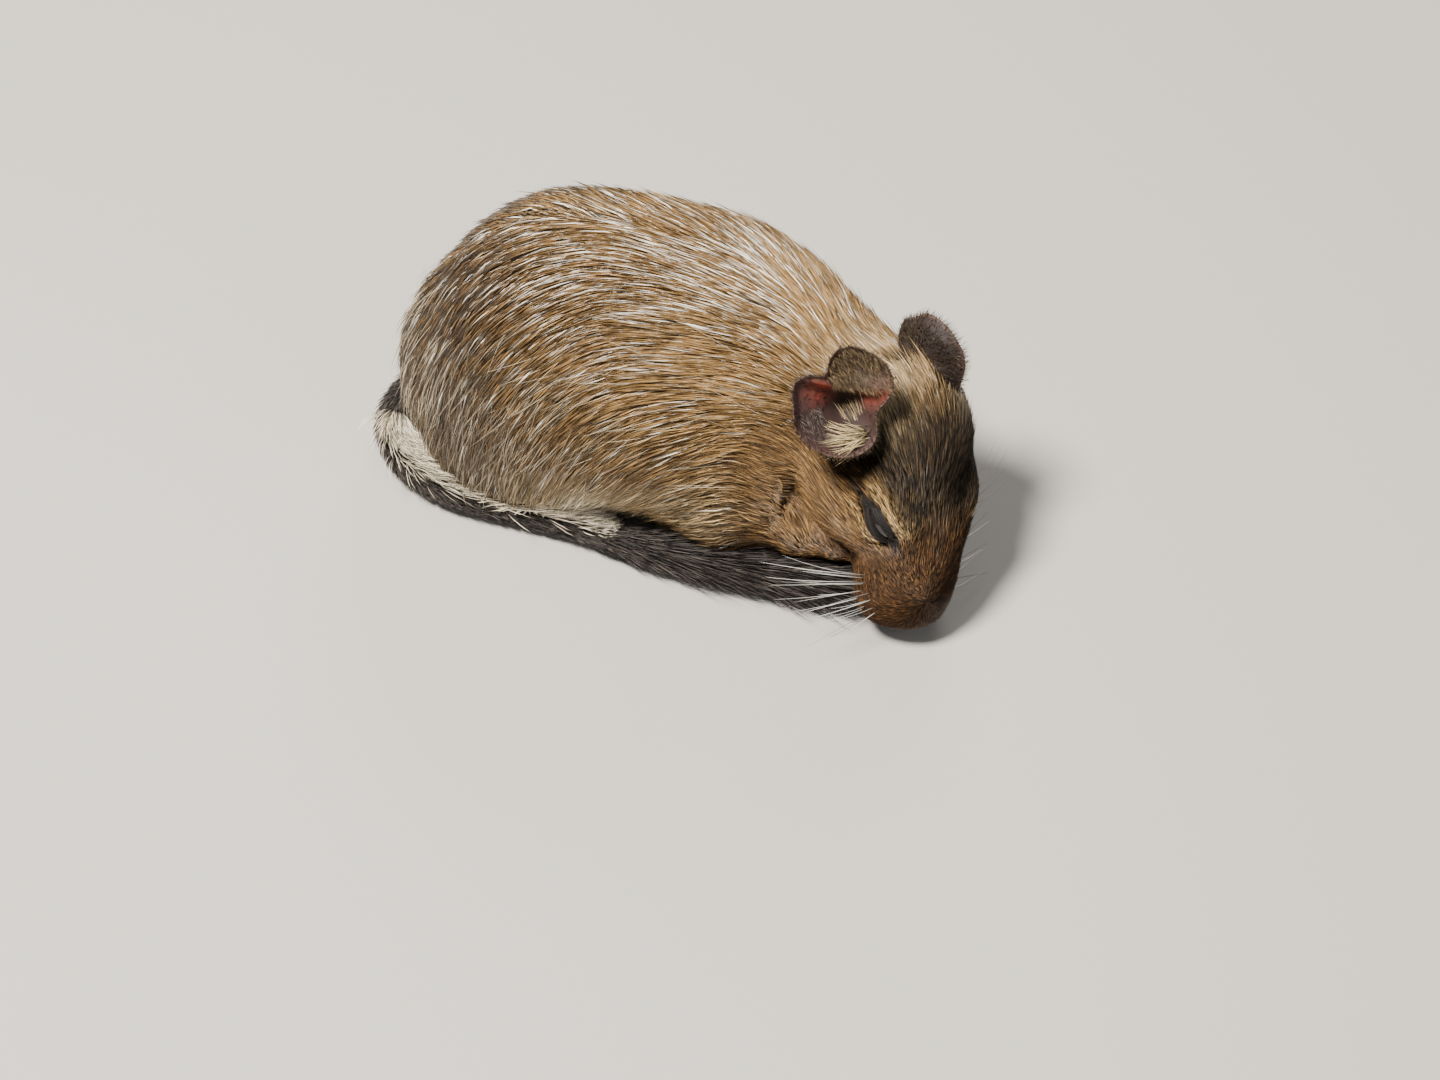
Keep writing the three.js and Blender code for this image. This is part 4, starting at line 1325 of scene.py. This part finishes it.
def pores(tree, shader, scale, detail, strength, height):
    """Fine relief in the skin; gives the noise it is made from, to colour the skin as well."""
    noise = tree.nodes.new("ShaderNodeTexNoise")
    noise.inputs["Scale"].default_value = scale
    noise.inputs["Detail"].default_value = detail
    tree.links.new(tree.nodes.new("ShaderNodeTexCoord").outputs["Object"], noise.inputs["Vector"])
    bump = tree.nodes.new("ShaderNodeBump")
    bump.inputs["Strength"].default_value = strength
    bump.inputs["Distance"].default_value = height
    tree.links.new(noise.outputs["Fac"], bump.inputs["Height"])
    tree.links.new(bump.outputs["Normal"], shader.inputs["Normal"])
    return noise.outputs["Fac"]


def hair_material(name, roughness, specular):
    made, tree, shader = material(name, roughness, specular)
    parts = tree.nodes.new("ShaderNodeSeparateColor")
    tree.links.new(attribute(tree, "strand"), parts.inputs[0])
    banded_colour(tree, shader, *parts.outputs)
    return made


def skin_material():
    made, tree, shader = material("coat_underlayer", 0.75, 0.25)
    noise = pores(tree, shader, 900, 2, 0.5, 0.0003)
    banded_colour(tree, shader, 0.3, noise, 0.0)
    return made


def bare_skin_material(name, roughness):
    made, tree, shader = material(name, roughness, 0.35)
    noise = pores(tree, shader, 420, 5, 0.35, 0.0002)
    mottling = remap(tree, noise, 0.35, 0.7, 0.0, 0.45)
    shade = mixed(tree, mottling, attribute(tree, "tint"), (0.035, 0.02, 0.017, 1))
    tree.links.new(shade, shader.inputs["Base Color"])
    return made, shader


def ear_material():
    made, shader = bare_skin_material("ear_skin", 0.68)
    shader.inputs["Subsurface Weight"].default_value = 0.08
    shader.inputs["Subsurface Radius"].default_value = (1.0, 0.3, 0.2)
    shader.inputs["Subsurface Scale"].default_value = 0.0015
    return made


def eye_material():
    made, _, shader = material("wet_eye", 0.1, 0.5, (0.012, 0.009, 0.008, 1))
    shader.inputs["Coat Weight"].default_value = 0.3
    shader.inputs["Coat Roughness"].default_value = 0.03
    return made


def dress(pieces, made):
    for piece in pieces:
        piece.data.materials.clear()
        piece.data.materials.append(made)
        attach(piece, "root")


def unwrap(piece):
    bpy.ops.object.select_all(action="DESELECT")
    piece.select_set(True)
    bpy.context.view_layer.objects.active = piece
    piece.data.uv_layers.new(name="OFBake")
    bpy.ops.object.mode_set(mode="EDIT")
    bpy.ops.mesh.select_all(action="SELECT")
    bpy.ops.uv.smart_project(angle_limit=math.radians(66), island_margin=0.004)
    bpy.ops.object.mode_set(mode="OBJECT")
    piece.select_set(False)


# Making the animal
skin = make_skin()
shape_lids(skin)
draw_in(skin)
shape_nose(skin)
unwrap(skin)
skin_points, skin_normals = surface(skin)
skin_tree = BVHTree.FromPolygons(skin_points.tolist(), triangle_table(skin.data, "vertices").tolist())
colour_attribute(skin, "tint", markings(skin_points, skin_normals))

coats = coat(skin)
guard = long_hairs(skin)
ears = {side: make_ear(side) for side in (RIGHT, LEFT)}
ear_hair = []
for side in (RIGHT, LEFT):
    grown = {"hairs": ear_hairs(side), "tuft": ear_tuft(side)}
    for label, parts in grown.items():
        ear_hair.append(strands(f"ear_{label}_{SIDE_NAMES[side]}", 1.0, *parts))
tail_skin = make_tail_skin()
tail_pieces = tail_coat()
whisker_piece = whiskers()
claws = make_claws()
eyes = {side: make_eye(side) for side in (RIGHT, LEFT)}

agouti = agouti_group()
face_coats = [piece for piece in coats if piece.name.startswith("face")]
body_coats = [piece for piece in coats if piece not in face_coats]
dress([skin], skin_material())
dress([*body_coats, guard, whisker_piece], hair_material("coat_hair", 0.3, 0.7))
dress([*face_coats, *ear_hair], hair_material("face_hair", 0.45, 0.25))
dress(tail_pieces, hair_material("tail_hair", 0.5, 0.4))
dress([tail_skin], bare_skin_material("tail_skin", 0.6)[0])
dress(list(ears.values()), ear_material())
dress(list(eyes.values()), eye_material())
dress([claws], material("claw_horn", 0.35, 0.5, (0.13, 0.09, 0.06, 1))[0])

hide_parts(*FLESH)
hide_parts("ear_right")
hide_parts("ear_left")
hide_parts("eye_right")
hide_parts("eye_left")
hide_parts("tail_base", "tail_middle", "tail_brush")


# Floor, lights and camera
bpy.ops.mesh.primitive_plane_add(size=4)
floor = bpy.context.object
floor.name = "floor"
floor.data.materials.append(material("pale_floor", 0.8, 0.2, (0.46, 0.44, 0.41, 1))[0])


def lamp(name, place, aim, size, power, colour):
    data = bpy.data.lights.new(name, "AREA")
    data.shape = "DISK"
    data.size = size
    data.energy = power
    data.color = colour
    light = bpy.data.objects.new(name, data)
    bpy.context.collection.objects.link(light)
    light.location = place
    light.rotation_euler = (Vector(aim) - Vector(place)).to_track_quat("-Z", "Y").to_euler()


lamp("key", (-0.3, -0.2, 0.85), (0, 0, 0.02), 0.22, 27, (1.0, 0.96, 0.88))
lamp("fill", (0.7, -0.6, 0.5), (0, 0, 0.02), 0.8, 2.0, (0.95, 0.97, 1.0))
lamp("back", (0.2, 0.8, 0.6), (0, 0, 0.03), 0.5, 4, (1.0, 0.97, 0.92))
world = bpy.data.worlds.new("studio")
bpy.context.scene.world = world
world.use_nodes = True
sky = world.node_tree.nodes["Background"]
sky.inputs["Color"].default_value = (0.84, 0.86, 0.88, 1)
sky.inputs["Strength"].default_value = 0.24

CAMERA_ELEVATION = math.radians(50)
CAMERA_DISTANCE = 0.72
CAMERA_AIM = placed(5.4, -39.05, 12.9) * MM
camera_data = bpy.data.cameras.new("camera")
camera_data.lens = 100
camera_data.sensor_width = 36
camera_data.clip_start = 0.01
camera = bpy.data.objects.new("camera", camera_data)
bpy.context.collection.objects.link(camera)
back_off = Vector((0, -math.cos(CAMERA_ELEVATION), math.sin(CAMERA_ELEVATION)))
camera.location = Vector(CAMERA_AIM) + back_off * CAMERA_DISTANCE
camera.rotation_euler = (-back_off).to_track_quat("-Z", "Y").to_euler()
bpy.context.scene.camera = camera
